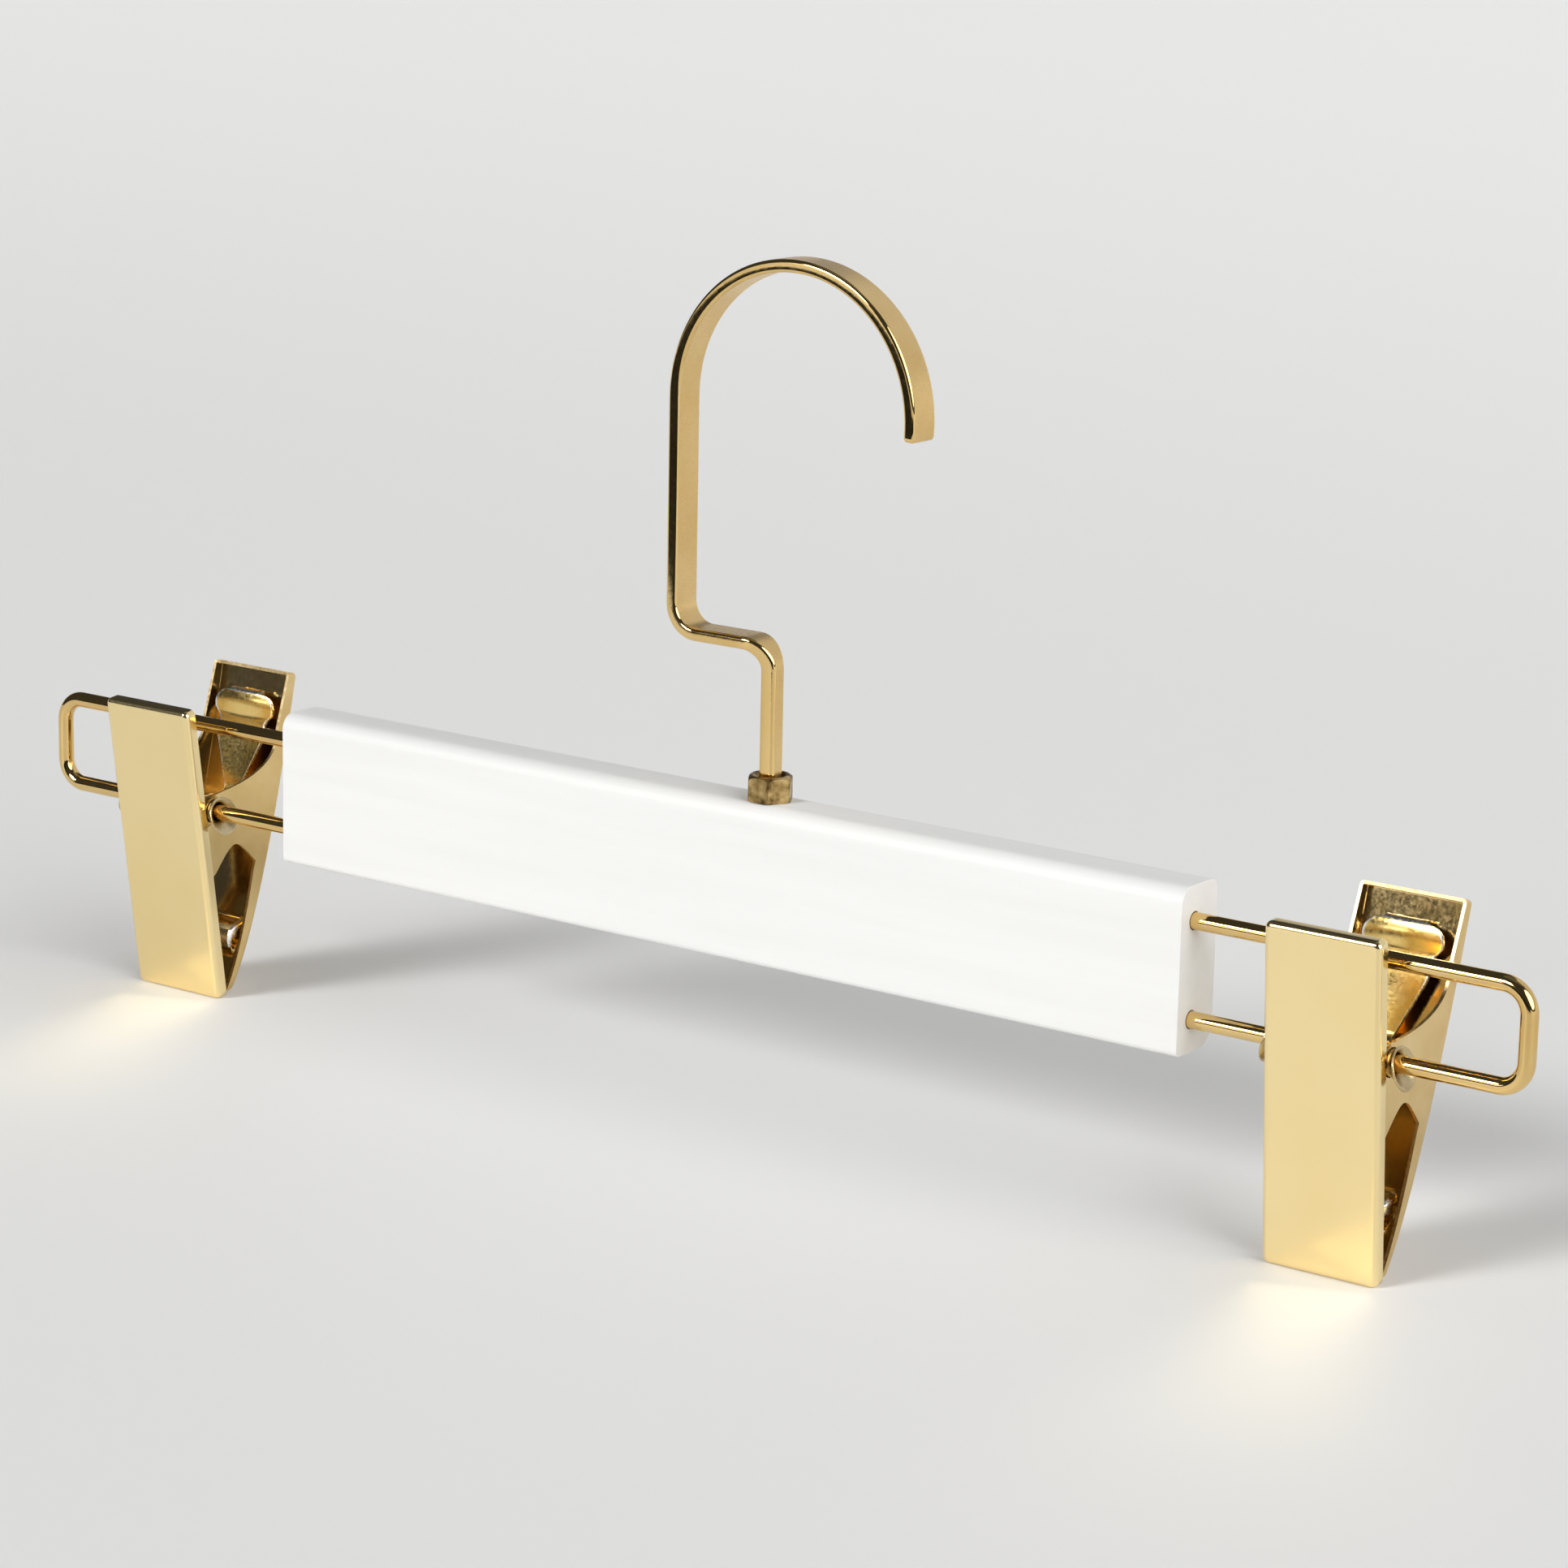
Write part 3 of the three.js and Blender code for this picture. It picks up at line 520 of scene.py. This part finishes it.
def makeNut():
    v = nutSizes
    across, height = v["flats"] / sqrt(3), v["height"]
    bm = bmesh.new()
    turn = Matrix.Translation((0, 0, height / 2)) @ Matrix.Rotation(radians(30), 4, "Z")
    bmesh.ops.create_cone(bm, cap_ends=True, segments=6, radius1=across, radius2=across,
                          depth=height, matrix=turn)
    roundEdges(bm, edgesAlong(bm, 2), v["edge"], v["edgeSteps"])
    # the crown rounds the six corners off, and its top is dished about the shank
    wide, dishZ = across + v["clear"], height - v["dish"]
    outline = [(0, -v["below"]), (across - v["crownLow"], -v["below"]),
               (wide, v["crownLow"]), (wide, height - v["crownDrop"])]
    outline += [(across - inward, height - down) for inward, down in v["crown"]]
    outline += [(v["bore"] + v["dishRim"], dishZ), (0, dishZ)]
    crown = bmesh.new()
    turnOutline(crown, [(r, 0, z) for r, z in outline], (0, 0, 1), v["crownSteps"])
    bmesh.ops.remove_doubles(crown, verts=crown.verts[:], dist=mergeGap)
    faceOutwards(crown)
    foot = -v["stemLength"]
    cutWith(bm, [
        (crown, "INTERSECT"),
        (rodMesh(v["stem"], (0, 0, foot), (0, 0, v["overrun"])), "UNION"),
        (rodMesh(v["bore"], (0, 0, foot - v["overrun"]), (0, 0, height + v["overrun"])), "DIFFERENCE"),
    ])
    place = Matrix.Translation(barPlace + Vector((hookX, 0, v["base"])))
    placePiece(bm, "hexNut", "hook_nut", "bar", ["oldBrass"], place, v["sharp"])


# The clip's own frame has its pivot at the origin and its front plate upright
def clipFrame(sideName):
    at = clipPlaces[sideName]
    return Matrix.Translation(at["pivot"]) @ Matrix.Rotation(radians(at["hang"]), 4, "X")


# Front plate of a clip: a shallow pressed tray with a lug inside each side
plateSizes = {"width": 23.2, "front": -6.0, "back": -3.3, "top": 23.5, "bottom": -40.2, "corner": 1.4,
              "cornerSteps": 8, "bend": 1.1, "bendSteps": 7, "sheet": 0.8, "edge": 0.16,
              "edgeSteps": 2, "hole": 2.75, "lugOuter": 9.6, "lugEnd": 3.55, "lugArc": (-45, 100, 18),
              "lugAbove": 5, "lugBelow": 12, "lugHang": 3.6, "lugReach": 1.6, "lugBite": 0.1}


def makeFrontPlate(sideName):
    v = plateSizes
    front, back = v["front"], v["back"]
    bm = boxMesh((v["width"], back - front, v["top"] - v["bottom"]),
                 (0, (front + back) / 2, (v["top"] + v["bottom"]) / 2))
    behind = max(bm.faces, key=lambda f: f.calc_center_median().y)
    bmesh.ops.delete(bm, geom=[behind], context="FACES_ONLY")
    roundEdges(bm, edgesAlong(bm, 1), v["corner"], v["cornerSteps"])
    roundEdges(bm, edgesAt(bm, 1, front), v["bend"], v["bendSteps"])
    faceOutwards(bm)
    bmesh.ops.solidify(bm, geom=bm.faces[:], thickness=v["sheet"])
    inside = front + v["sheet"] - v["lugBite"]
    outline = [(inside, v["lugAbove"]), (inside, -v["lugBelow"]), (back, -v["lugBelow"] + v["lugHang"]),
               (v["lugReach"], -v["lugEnd"] - v["lugHang"] / 2)]
    outline += arcAbout(0, 0, v["lugEnd"], *v["lugArc"])
    for side in (-1, 1):
        x = side * v["lugOuter"]
        ring = [bm.verts.new((x, y, z)) for y, z in outline]
        around = [bm.edges.new((a, b)) for a, b in zip(ring, ring[1:] + ring[:1])]
        lug = fillAboutHole(bm, around, x, v["hole"])
        grown = bmesh.ops.extrude_face_region(bm, geom=lug)["geom"]
        bmesh.ops.translate(bm, vec=(-side * v["sheet"], 0, 0), verts=vertsOf(grown))
    faceOutwards(bm)
    breakEdges(bm, v["edge"], v["edgeSteps"])
    placePiece(bm, sideName + "FrontPlate", sideName + "_front_jaw", sideName + "_front",
               ["satinGold"], clipFrame(sideName))


# Back jaw of a clip: a channel bent from sheet, with an ear on each side and a rib across its web
jawSizes = {"half": 10.7, "topY": 28.8, "topZ": 21.5, "kneeY": 11.7, "kneeZ": -26.1, "tipY": -0.5,
            "tipZ": -39.9, "steps": 44, "bend": 1.4, "bendSteps": 6, "foldAngle": 40, "sheet": 0.64,
            "edge": 0.22, "edgeSteps": 3, "rim": 2.6, "rimRoot": 3.8, "rimGap": 0.8, "side": 4.1,
            "sideTip": 1.8, "tipGap": 1.2, "archGap": 0.3, "grip": -3.0, "earRootZ": 9.5,
            "earTop": 3.4, "earBend": 2.2, "earEnd": 4.6, "earSteps": 14, "earCorner": 8,
            "panelLow": -15, "archFoot": (-1.7, -13.3), "archPeak": (5, -7.3), "archLow": -14.5,
            "archSteps": 20, "hole": 2.75}
# the rib's last size is how far forward of the web its crest gets a painted highlight
ribSizes = {"top": -27.4, "low": -35, "half": 8.2, "reach": 3.2, "steep": 0.18, "crest": 0.25,
            "end": 1.2, "rows": 16, "endRows": 4, "margin": 3, "level": 0.01, "cutGap": 1e-5,
            "paintedHighlight": 2.2}


# The jaw's web from its top to its tip
def webLine(steps):
    v = jawSizes
    line = []
    for i in range(steps + 1):
        t = i / steps
        a, b, c = (1 - t) ** 2, 2 * t * (1 - t), t * t
        y = a * v["topY"] + b * v["kneeY"] + c * v["tipY"]
        z = a * v["topZ"] + b * v["kneeZ"] + c * v["tipZ"]
        line.append((y, z))
    return line


fineWeb = webLine(200)


def webAt(z):
    return min(fineWeb, key=lambda p: abs(p[1] - z))[0]


def jawOutline(web):
    v = jawSizes

    def rimAt(z):
        return v["rimRoot"] + (v["rim"] - v["rimRoot"]) * between(z, v["earRootZ"], v["topZ"])

    def sideAt(z):
        return v["sideTip"] + (v["side"] - v["sideTip"]) * between(z, v["tipZ"], v["archLow"])

    rim = [p for p in beside(web, rimAt) if p[1] > v["earRootZ"] + v["rimGap"]]
    low, high = v["tipZ"] + v["tipGap"], v["archLow"] - v["archGap"]
    side = [(max(y, v["grip"]), z) for y, z in beside(web, sideAt) if low < z < high]
    earStart = (webAt(v["earRootZ"]) - v["rimRoot"], v["earRootZ"])
    earBend = (earStart[0] - v["earBend"], v["earTop"])
    earTop = bezier([(v["earEnd"], v["earTop"]), earBend, earStart], v["earSteps"])
    archEnd = (webAt(v["archLow"]) - v["side"], v["archLow"])
    arch = bezier([archEnd, v["archPeak"], v["archPeak"], v["archFoot"]], v["archSteps"])
    corner = degrees(asin(v["earTop"] / v["earEnd"]))
    front = [(-v["earEnd"], v["panelLow"])]
    front += arcAbout(0, 0, v["earEnd"], 180, 180 - corner, v["earCorner"])
    return web + [(v["grip"], v["tipZ"])] + side[::-1] + arch + front + earTop + rim[::-1]


# The rib is pressed forward, steep above and with a long slope below
def pressRib(bm):
    v = ribSizes
    tall = v["top"] - v["low"]

    def isNear(f):
        x, y, z = f.calc_center_median()
        onWeb = abs(f.normal.x) < v["level"] and abs(x) < jawSizes["half"] - jawSizes["bend"]
        return onWeb and v["low"] - v["margin"] < z < v["top"] + v["margin"]

    cuts = [((0, 0, v["top"] - tall * i / v["rows"]), (0, 0, 1)) for i in range(v["rows"] + 1)]
    for end in (-1, 1):
        for i in range(v["endRows"] + 1):
            cuts.append(((end * (v["half"] - v["end"] * i / v["endRows"]), 0, 0), (1, 0, 0)))
    for co, no in cuts:
        faces = [f for f in bm.faces if isNear(f)]
        edges = list(dict.fromkeys(e for f in faces for e in f.edges))
        points = list(dict.fromkeys(p for f in faces for p in f.verts))
        bmesh.ops.bisect_plane(bm, geom=faces + edges + points, plane_co=co, plane_no=no, dist=v["cutGap"])
    for p in bm.verts:
        if abs(p.co.x) < v["half"] and v["low"] < p.co.z < v["top"]:
            drop = (v["top"] - p.co.z) / tall
            share = ease(drop / v["steep"]) * (0.5 + 0.5 * cos(pi * between(drop, v["crest"], 1)))
            p.co.y -= v["reach"] * share * ease((v["half"] - abs(p.co.x)) / v["end"])


# The rib's crest, on the inside alone, is painted bare steel as a painted highlight
def paintCrestHighlight(bm):
    v = ribSizes
    for f in bm.faces:
        x, y, z = f.calc_center_median()
        crest = abs(x) < v["half"] and v["low"] < z < v["top"] and webAt(z) - y > v["paintedHighlight"]
        if crest and f.normal.y < 0:
            f.material_index = 2


def makeBackJaw(sideName):
    v = jawSizes
    web = webLine(v["steps"])
    bm = bmesh.new()
    ring = [bm.verts.new((-v["half"], y, z)) for y, z in jawOutline(web)]
    cap = bm.faces.new(ring)
    # only the web, the tip and the top have a wall from side to side
    walled = [loop.edge for i, loop in enumerate(cap.loops) if i < len(web) or i == len(ring) - 1]
    grown = bmesh.ops.extrude_face_region(bm, geom=[cap])["geom"]
    bmesh.ops.translate(bm, vec=(2 * v["half"], 0, 0), verts=vertsOf(grown))
    caps = [f for f in bm.faces if len(f.verts) > 4]
    kept = caps + [f for e in walled for f in e.link_faces if f not in caps]
    bmesh.ops.delete(bm, geom=[f for f in bm.faces if f not in kept], context="FACES_ONLY")
    shared = [e for e in bm.edges if len(e.link_faces) == 2]
    folds = [e for e in shared if any(f in caps for f in e.link_faces)
             or e.calc_face_angle(0) > radians(v["foldAngle"])]
    roundEdges(bm, folds, v["bend"], v["bendSteps"])
    # each side is filled again about its pivot hole
    for x in (-v["half"], v["half"]):
        flats = [f for f in bm.faces if all(abs(p.co.x - x) < touchGap for p in f.verts)]
        cap = max(flats, key=lambda f: f.calc_area())
        around = cap.edges[:]
        bmesh.ops.delete(bm, geom=[cap], context="FACES_ONLY")
        fillAboutHole(bm, around, x, v["hole"])
    pressRib(bm)
    thicken(bm, v["sheet"])
    paintCrestHighlight(bm)
    breakEdges(bm, v["edge"], v["edgeSteps"])
    placePiece(bm, sideName + "BackJaw", sideName + "_back_jaw", sideName + "_back",
               ["pressedGold", "cutEdge", "bareSteelAndHighlight"], clipFrame(sideName))


# Sleeve on the wire, flared at both ends like a spout, with its lip furthest out below.
# Points of the flare are a share of its reach, and how far they stand out from the tube or in from the lip.
sleeveSizes = {"bore": 1.9, "wall": 0.6, "neck": 10.95, "end": 14.35, "flare": 4.6, "lean": 2.2,
               "upper": 0.34, "steps": 48, "sharp": 60, "start": 0.1,
               "inside": ((0.3, 0.15), (0.6, 0.8)), "mouth": (0.85, 0.95),
               "lip": ((0.03, 0.38), (0, 0.2), (0.1, 0.05), (0.28, 0), (0.5, 0.12)),
               "shoulder": (0.68, 0.72), "outside": ((0.45, 0.62), (0.22, 0.15))}


def makeSleeve(sideName):
    v = sleeveSizes
    neck, end, bore, lip = v["neck"], v["end"], v["bore"], v["flare"]
    outer, reach = bore + v["wall"], end - neck
    half = [(neck + v["start"], bore)]
    half += [(neck + along * reach, bore + out) for along, out in v["inside"]]
    half += [(neck + v["mouth"][0] * reach, lip - v["mouth"][1])]
    half += [(end - back, lip - inward) for back, inward in v["lip"]]
    half += [(neck + v["shoulder"][0] * reach, lip - v["shoulder"][1])]
    half += [(neck + along * reach, outer + out) for along, out in v["outside"]]
    half += [(neck, outer)]
    outline = half + [(-x, r) for x, r in reversed(half)]
    bm = bmesh.new()
    turnOutline(bm, [(x, 0, r) for x, r in outline], (1, 0, 0), v["steps"], closed=True)
    for p in bm.verts:
        out = max(abs(p.co.x) - neck, 0) / reach
        above = out * (0.5 + 0.5 * p.co.z / lip)
        p.co.x -= copysign(v["lean"] * above, p.co.x)
        p.co.yz *= 1 - v["upper"] * above
    placePiece(bm, sideName + "Sleeve", sideName + "_pivot_sleeve", sideName + "_slider",
               ["sleevePlate"], clipFrame(sideName), v["sharp"])


# Leaf spring between the jaws: a narrow heel under the sleeve, and a stem that widens to a crowned head
# two of these sizes set the narrow side columns that are painted as a highlight line
springSizes = {"thick": 0.6, "edge": 0.1, "edgeSteps": 2, "across": 12, "paintedHighlight": 0.06, "paintedHighlightGap": 0.01,
               "frontY": -4.6, "frontTop": 14.2, "frontRows": 10, "wrap": 3.1,
               "wrapArc": (185, 270, 10), "underRows": 6, "heel": 3.5, "heelSteps": 10, "heelGap": 0.1,
               "stemSteps": 160, "lie": 3.4, "bow": 0.7, "stem": 1.8, "stemLow": -2, "leg": 4.4,
               "legRise": 8, "neck": 6.4, "neckRise": 8.4, "head": 8.2, "headTop": 18.3,
               "headLength": 6.8, "swell": 2.4, "crown": 0.8, "round": 4, "roundDeep": 3.4,
               "roundFrom": 1.92, "curl": 1.2, "curlFrom": 15, "curlSteps": 5, "curlTail": 0.6,
               "blendFrom": -3.5, "blendTo": 7}


# The spring's side view in four runs: front leg, loop round the pivot, stem with its head, and curl
def springRuns():
    v = springSizes

    def standAt(z):
        return v["lie"] + v["bow"] * sin(pi * between(z, v["headTop"] - v["headLength"], v["headTop"]))

    heelZ = v["heel"] - v["wrap"]
    web = beside(webLine(v["stemSteps"]), standAt)
    stem = [p for p in reversed(web) if heelZ < p[1] < v["headTop"] - v["curl"]]
    leanY, leanZ = heading(stem[0], stem[1])
    heelY = stem[0][0] - (stem[0][1] - heelZ + v["heel"] * leanY) * leanY / leanZ - v["heel"] * leanZ
    front = [(v["frontY"], v["frontTop"] * i / v["frontRows"]) for i in range(v["frontRows"], 0, -1)]
    wrap = arcAbout(0, 0, v["wrap"], *v["wrapArc"])
    under = [(heelY * i / v["underRows"], -v["wrap"]) for i in range(1, v["underRows"])]
    heel = arcAbout(heelY, heelZ, v["heel"], -90, -degrees(asin(leanY)), v["heelSteps"])
    rising = [p for p in stem if p[1] > heel[-1][1] + v["heelGap"]]
    # the head's end curls back to bear on the jaw
    (lastY, lastZ), (upY, upZ) = stem[-1], heading(stem[-3], stem[-1])
    facing = 180 - degrees(asin(upY))
    curl = arcAbout(lastY + v["curl"] * upZ, lastZ - v["curl"] * upY, v["curl"],
                    facing - v["curlFrom"], facing - 90, v["curlSteps"])
    curl.append((curl[-1][0] + v["curlTail"] * upZ, curl[-1][1] - v["curlTail"] * upY))
    return front, wrap + under, heel + rising, curl


def makeSpring(sideName):
    v = springSizes
    front, loop, stem, curl = springRuns()
    path = front + loop + stem + curl
    bent = len(front) + len(loop)
    headLow = v["headTop"] - v["headLength"]
    left = [0.0]  # what is left of the path's length
    for a, b in zip(reversed(path), reversed(path[:-1])):
        left.append(left[-1] + hypot(a[0] - b[0], a[1] - b[1]))
    left.reverse()

    def halfAt(i):
        z = path[i][1]
        if i < len(front):
            return v["stem"] + (v["leg"] - v["stem"]) * between(z, v["stemLow"], v["legRise"])
        if i < bent:
            return v["stem"]
        wide = v["stem"] + (v["neck"] - v["stem"]) * between(z, v["stemLow"], v["neckRise"])
        wide += (v["head"] - v["neck"]) * ease((z - headLow) / v["swell"])
        inset = 1 - between(left[i] - v["roundFrom"], 0, v["roundDeep"])
        return wide - v["round"] * (1 - sqrt(1 - inset ** 2))

    bm = bmesh.new()
    rank = bm.verts.layers.int.new("rank")
    points = [bm.verts.new((-halfAt(i), y, z)) for i, (y, z) in enumerate(path)]
    for i, p in enumerate(points):
        p[rank] = i
    edges = [bm.edges.new((a, b)) for a, b in zip(points, points[1:])]
    # a narrow column along each side, and the curl, are painted bare steel as a painted highlight line
    inner = 1 - v["paintedHighlight"]
    columns = [inner * (2 * step / v["across"] - 1) for step in range(v["across"] + 1)] + [1]
    for column in columns:
        made = bmesh.ops.extrude_edge_only(bm, edges=edges)["geom"]
        points = vertsOf(made)
        for p in points:
            p.co.x = halfAt(p[rank]) * column
        edges = [e for e in edgesOf(made) if all(p in points for p in e.verts)]
    for f in bm.faces:
        paintedEdge = all(abs(p.co.x) > (inner - v["paintedHighlightGap"]) * halfAt(p[rank]) for p in f.verts)
        f.material_index = int(paintedEdge or all(p[rank] >= len(path) - len(curl) for p in f.verts))
    for p in bm.verts:
        if p[rank] >= bent:
            p.co.y += v["crown"] * between(p.co.z, v["neckRise"], v["headTop"]) * (p.co.x / v["head"]) ** 2
    thicken(bm, v["thick"])
    breakEdges(bm, v["edge"], v["edgeSteps"])
    place = clipFrame(sideName)
    piece = placePiece(bm, sideName + "Spring", sideName + "_jaw_spring", None,
                       ["giltSpring", "bareSteelAndHighlight"], place)
    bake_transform(piece)


makeBar()
makeHook()
makeNut()
print("bar, hook and nut built")
for sideName, side in (("right", 1), ("left", -1)):
    makeWire(sideName, side)
    makeFrontPlate(sideName)
    makeBackJaw(sideName)
    makeSleeve(sideName)
    makeSpring(sideName)
    print(sideName, "clip built")

# the hidden ring keeps its CAD solid, in bare steel
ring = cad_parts["hook_retaining_ring"]
ring.data.materials.clear()
ring.data.materials.append(finishes["bareSteelAndHighlight"])

# Camera at the photograph's angle, in metres and degrees as is all that follows
view = {"place": (0.49299, -0.67299, 0.10091), "yaw": 36.33, "pitch": 13.321, "roll": 1.144,
        "lens": 104.747, "sensor": 36, "nearest": 0.01}


def makeCamera():
    yaw, pitch, roll = (radians(view[key]) for key in ("yaw", "pitch", "roll"))
    right = Vector((cos(yaw), sin(yaw), 0))
    ahead = Vector((-sin(yaw) * cos(pitch), cos(yaw) * cos(pitch), -sin(pitch)))
    up = right.cross(ahead)
    across = cos(roll) * right + sin(roll) * up
    above = cos(roll) * up - sin(roll) * right
    lens = bpy.data.cameras.new("camera")
    lens.sensor_width = view["sensor"]
    lens.lens = view["lens"]
    lens.clip_start = view["nearest"]
    camera = addObject("camera", lens)
    turn = Matrix((across, above, -ahead)).transposed().to_4x4()
    camera.matrix_world = Matrix.Translation(view["place"]) @ turn
    bpy.context.scene.camera = camera


# Floor, level under the hanger and rising gently behind it
floorSizes = {"height": -0.16576, "reach": 60, "rows": 140, "riseFrom": 0.3, "riseTo": 1.5, "slope": 0.28,
              "colour": (0.905, 0.905, 0.9), "rough": 0.55, "gloss": 0.1}


def makeFloor():
    v = floorSizes
    bm = bmesh.new()
    bmesh.ops.create_grid(bm, x_segments=2, y_segments=v["rows"], size=1)
    # rows lie closer together near the hanger
    for p in bm.verts:
        p.co.y = copysign(abs(p.co.y) ** 3, p.co.y)
    bmesh.ops.scale(bm, vec=(v["reach"], v["reach"], 1), verts=bm.verts[:])
    # the slope grows from level to its full rise, and stays so
    span = v["riseTo"] - v["riseFrom"]
    for p in bm.verts:
        t = between(p.co.y, v["riseFrom"], v["riseTo"])
        rise = v["slope"] * (span * (t ** 3 - t ** 4 / 2) + max(p.co.y - v["riseTo"], 0))
        p.co.z = v["height"] + rise
    for f in bm.faces:
        f.smooth = True
    floor = addMesh("floor", bm)
    material, tree, shader, where = newMaterial("paleFloor", v["colour"], 0, v["rough"])
    shader.inputs["Specular IOR Level"].default_value = v["gloss"]
    floor.data.materials.append(material)
    floor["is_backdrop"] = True


# Three distant boxes side by side at the front left, a low strip beside them, a wide fill from the right
# and a faint one overhead: how far each is turned to the left and lifted, its spread and its strength
lamps = {"keyBox1": (16, 28.5, 15, 0.67), "keyBox2": (22, 28, 15, 0.67), "keyBox3": (28, 27.5, 15, 0.67),
         "stripBox": (30, 5, 13, 0.125), "fillBox": (-75, 29, 50, 2), "topBox": (180, 84, 50, 0.05)}
lampColour = (1, 0.998, 0.994)


def makeLamp(name):
    turn, lift, spread, strength = lamps[name]
    turn, lift = radians(turn), radians(lift)
    towards = Vector((-sin(turn) * cos(lift), -cos(turn) * cos(lift), sin(lift)))
    light = bpy.data.lights.new(name, "SUN")
    light.angle = radians(spread)
    light.energy = strength
    light.color = lampColour
    addObject(name, light).matrix_world = towards.to_track_quat("Z", "Y").to_matrix().to_4x4()


# Each front plate throws some of the key light on to the floor before it, in a warm fan
glowSizes = {"wide": 0.0215, "tall": 0.056, "turn": 21, "drop": 28, "ahead": 0.0042, "lift": 0.004,
             "spread": 66, "power": 0.0019, "colour": (1, 0.84, 0.45)}


def makePlateGlow(sideName):
    v = glowSizes
    light = bpy.data.lights.new(sideName + "PlateGlow", "AREA")
    light.shape = "RECTANGLE"
    light.size = v["wide"]
    light.size_y = v["tall"]
    light.spread = radians(v["spread"])
    light.energy = v["power"]
    light.color = v["colour"]
    turn, drop = radians(v["turn"]), radians(v["drop"])
    ahead = Vector((sin(turn) * cos(drop), -cos(turn) * cos(drop), -sin(drop)))
    along = Vector((cos(turn), sin(turn), 0))
    falling = along.cross(ahead)
    foot = clipFrame(sideName) @ Vector((0, plateSizes["front"], plateSizes["bottom"])) * mmToMetres
    middle = foot + ahead * v["ahead"] - falling * v["tall"] / 2 + Vector((0, 0, v["lift"]))
    lamp = addObject(sideName + "PlateGlow", light)
    lamp.matrix_world = Matrix.Translation(middle) @ Matrix((along, falling, -ahead)).transposed().to_4x4()
    lamp.visible_camera = False
    lamp.visible_glossy = False
    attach(lamp, sideName + "_front")


# A low dark card in front, that only the metal sees
cardSizes = {"y": -0.42, "left": -1.2, "right": 0.5, "tall": 0.1, "gap": 0.0005,
             "colour": (0.015, 0.015, 0.015), "rough": 0.9}


def makeCard():
    v = cardSizes
    bm = bmesh.new()
    bmesh.ops.create_grid(bm, x_segments=1, y_segments=1, size=0.5)
    bmesh.ops.rotate(bm, cent=(0, 0, 0), matrix=Matrix.Rotation(radians(90), 3, "X"), verts=bm.verts[:])
    bmesh.ops.scale(bm, vec=(v["right"] - v["left"], 1, v["tall"]), verts=bm.verts[:])
    place = ((v["left"] + v["right"]) / 2, v["y"], floorSizes["height"] + v["tall"] / 2 + v["gap"])
    bmesh.ops.translate(bm, vec=place, verts=bm.verts[:])
    card = addMesh("darkCard", bm)
    card.data.materials.append(newMaterial("cardBlack", v["colour"], 0, v["rough"])[0])
    card.visible_camera = False
    card.visible_diffuse = False
    card.visible_shadow = False
    card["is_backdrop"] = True


# A pale backdrop behind, low on the left and high on the right, and a dark room about it
roomValues = {"dark": (0.045, 0.045, 0.045), "pale": (0.66, 0.665, 0.67), "seen": (0.92, 0.922, 0.925, 1),
              "height": (0.8, 0.92), "behind": (0.05, 0.35)}


def makeRoom():
    v = roomValues
    world = bpy.data.worlds.new("room")
    world.use_nodes = True
    tree = world.node_tree
    back = tree.nodes["Background"]
    place = tree.nodes.new("ShaderNodeTexCoord")
    split = tree.nodes.new("ShaderNodeSeparateXYZ")
    tree.links.new(place.outputs["Generated"], split.inputs["Vector"])

    def combine(a, b, operation):
        node = tree.nodes.new("ShaderNodeMath")
        node.operation = operation
        tree.links.new(a, node.inputs[0])
        tree.links.new(b, node.inputs[1])
        return node.outputs["Value"]

    low = addRange(tree, combine(split.outputs["Z"], split.outputs["X"], "SUBTRACT"), 1, 0, *v["height"])
    behind = addRange(tree, split.outputs["Y"], 0, 1, *v["behind"])
    lit = addRamp(tree, combine(low, behind, "MULTIPLY"), [(0, v["dark"]), (1, v["pale"])])
    # the camera sees it pale all round
    sight = tree.nodes.new("ShaderNodeLightPath")
    mix = tree.nodes.new("ShaderNodeMix")
    mix.data_type = "RGBA"
    tree.links.new(sight.outputs["Is Camera Ray"], mix.inputs["Factor"])
    colourIn = [s for s in mix.inputs if s.type == "RGBA"]
    colourIn[1].default_value = v["seen"]
    tree.links.new(lit, colourIn[0])
    tree.links.new([s for s in mix.outputs if s.type == "RGBA"][0], back.inputs["Color"])
    back.inputs["Strength"].default_value = 1
    bpy.context.scene.world = world


makeCamera()
makeFloor()
for name in lamps:
    makeLamp(name)
for sideName in clipPlaces:
    makePlateGlow(sideName)
makeCard()
makeRoom()
bpy.context.scene.view_settings.view_transform = "Standard"
print("camera, floor and light set")

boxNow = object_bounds()
for name, box in (("cad box", cadBox), ("visual box", boxNow)):
    print(name, [[round(n, 4) for n in corner] for corner in box])
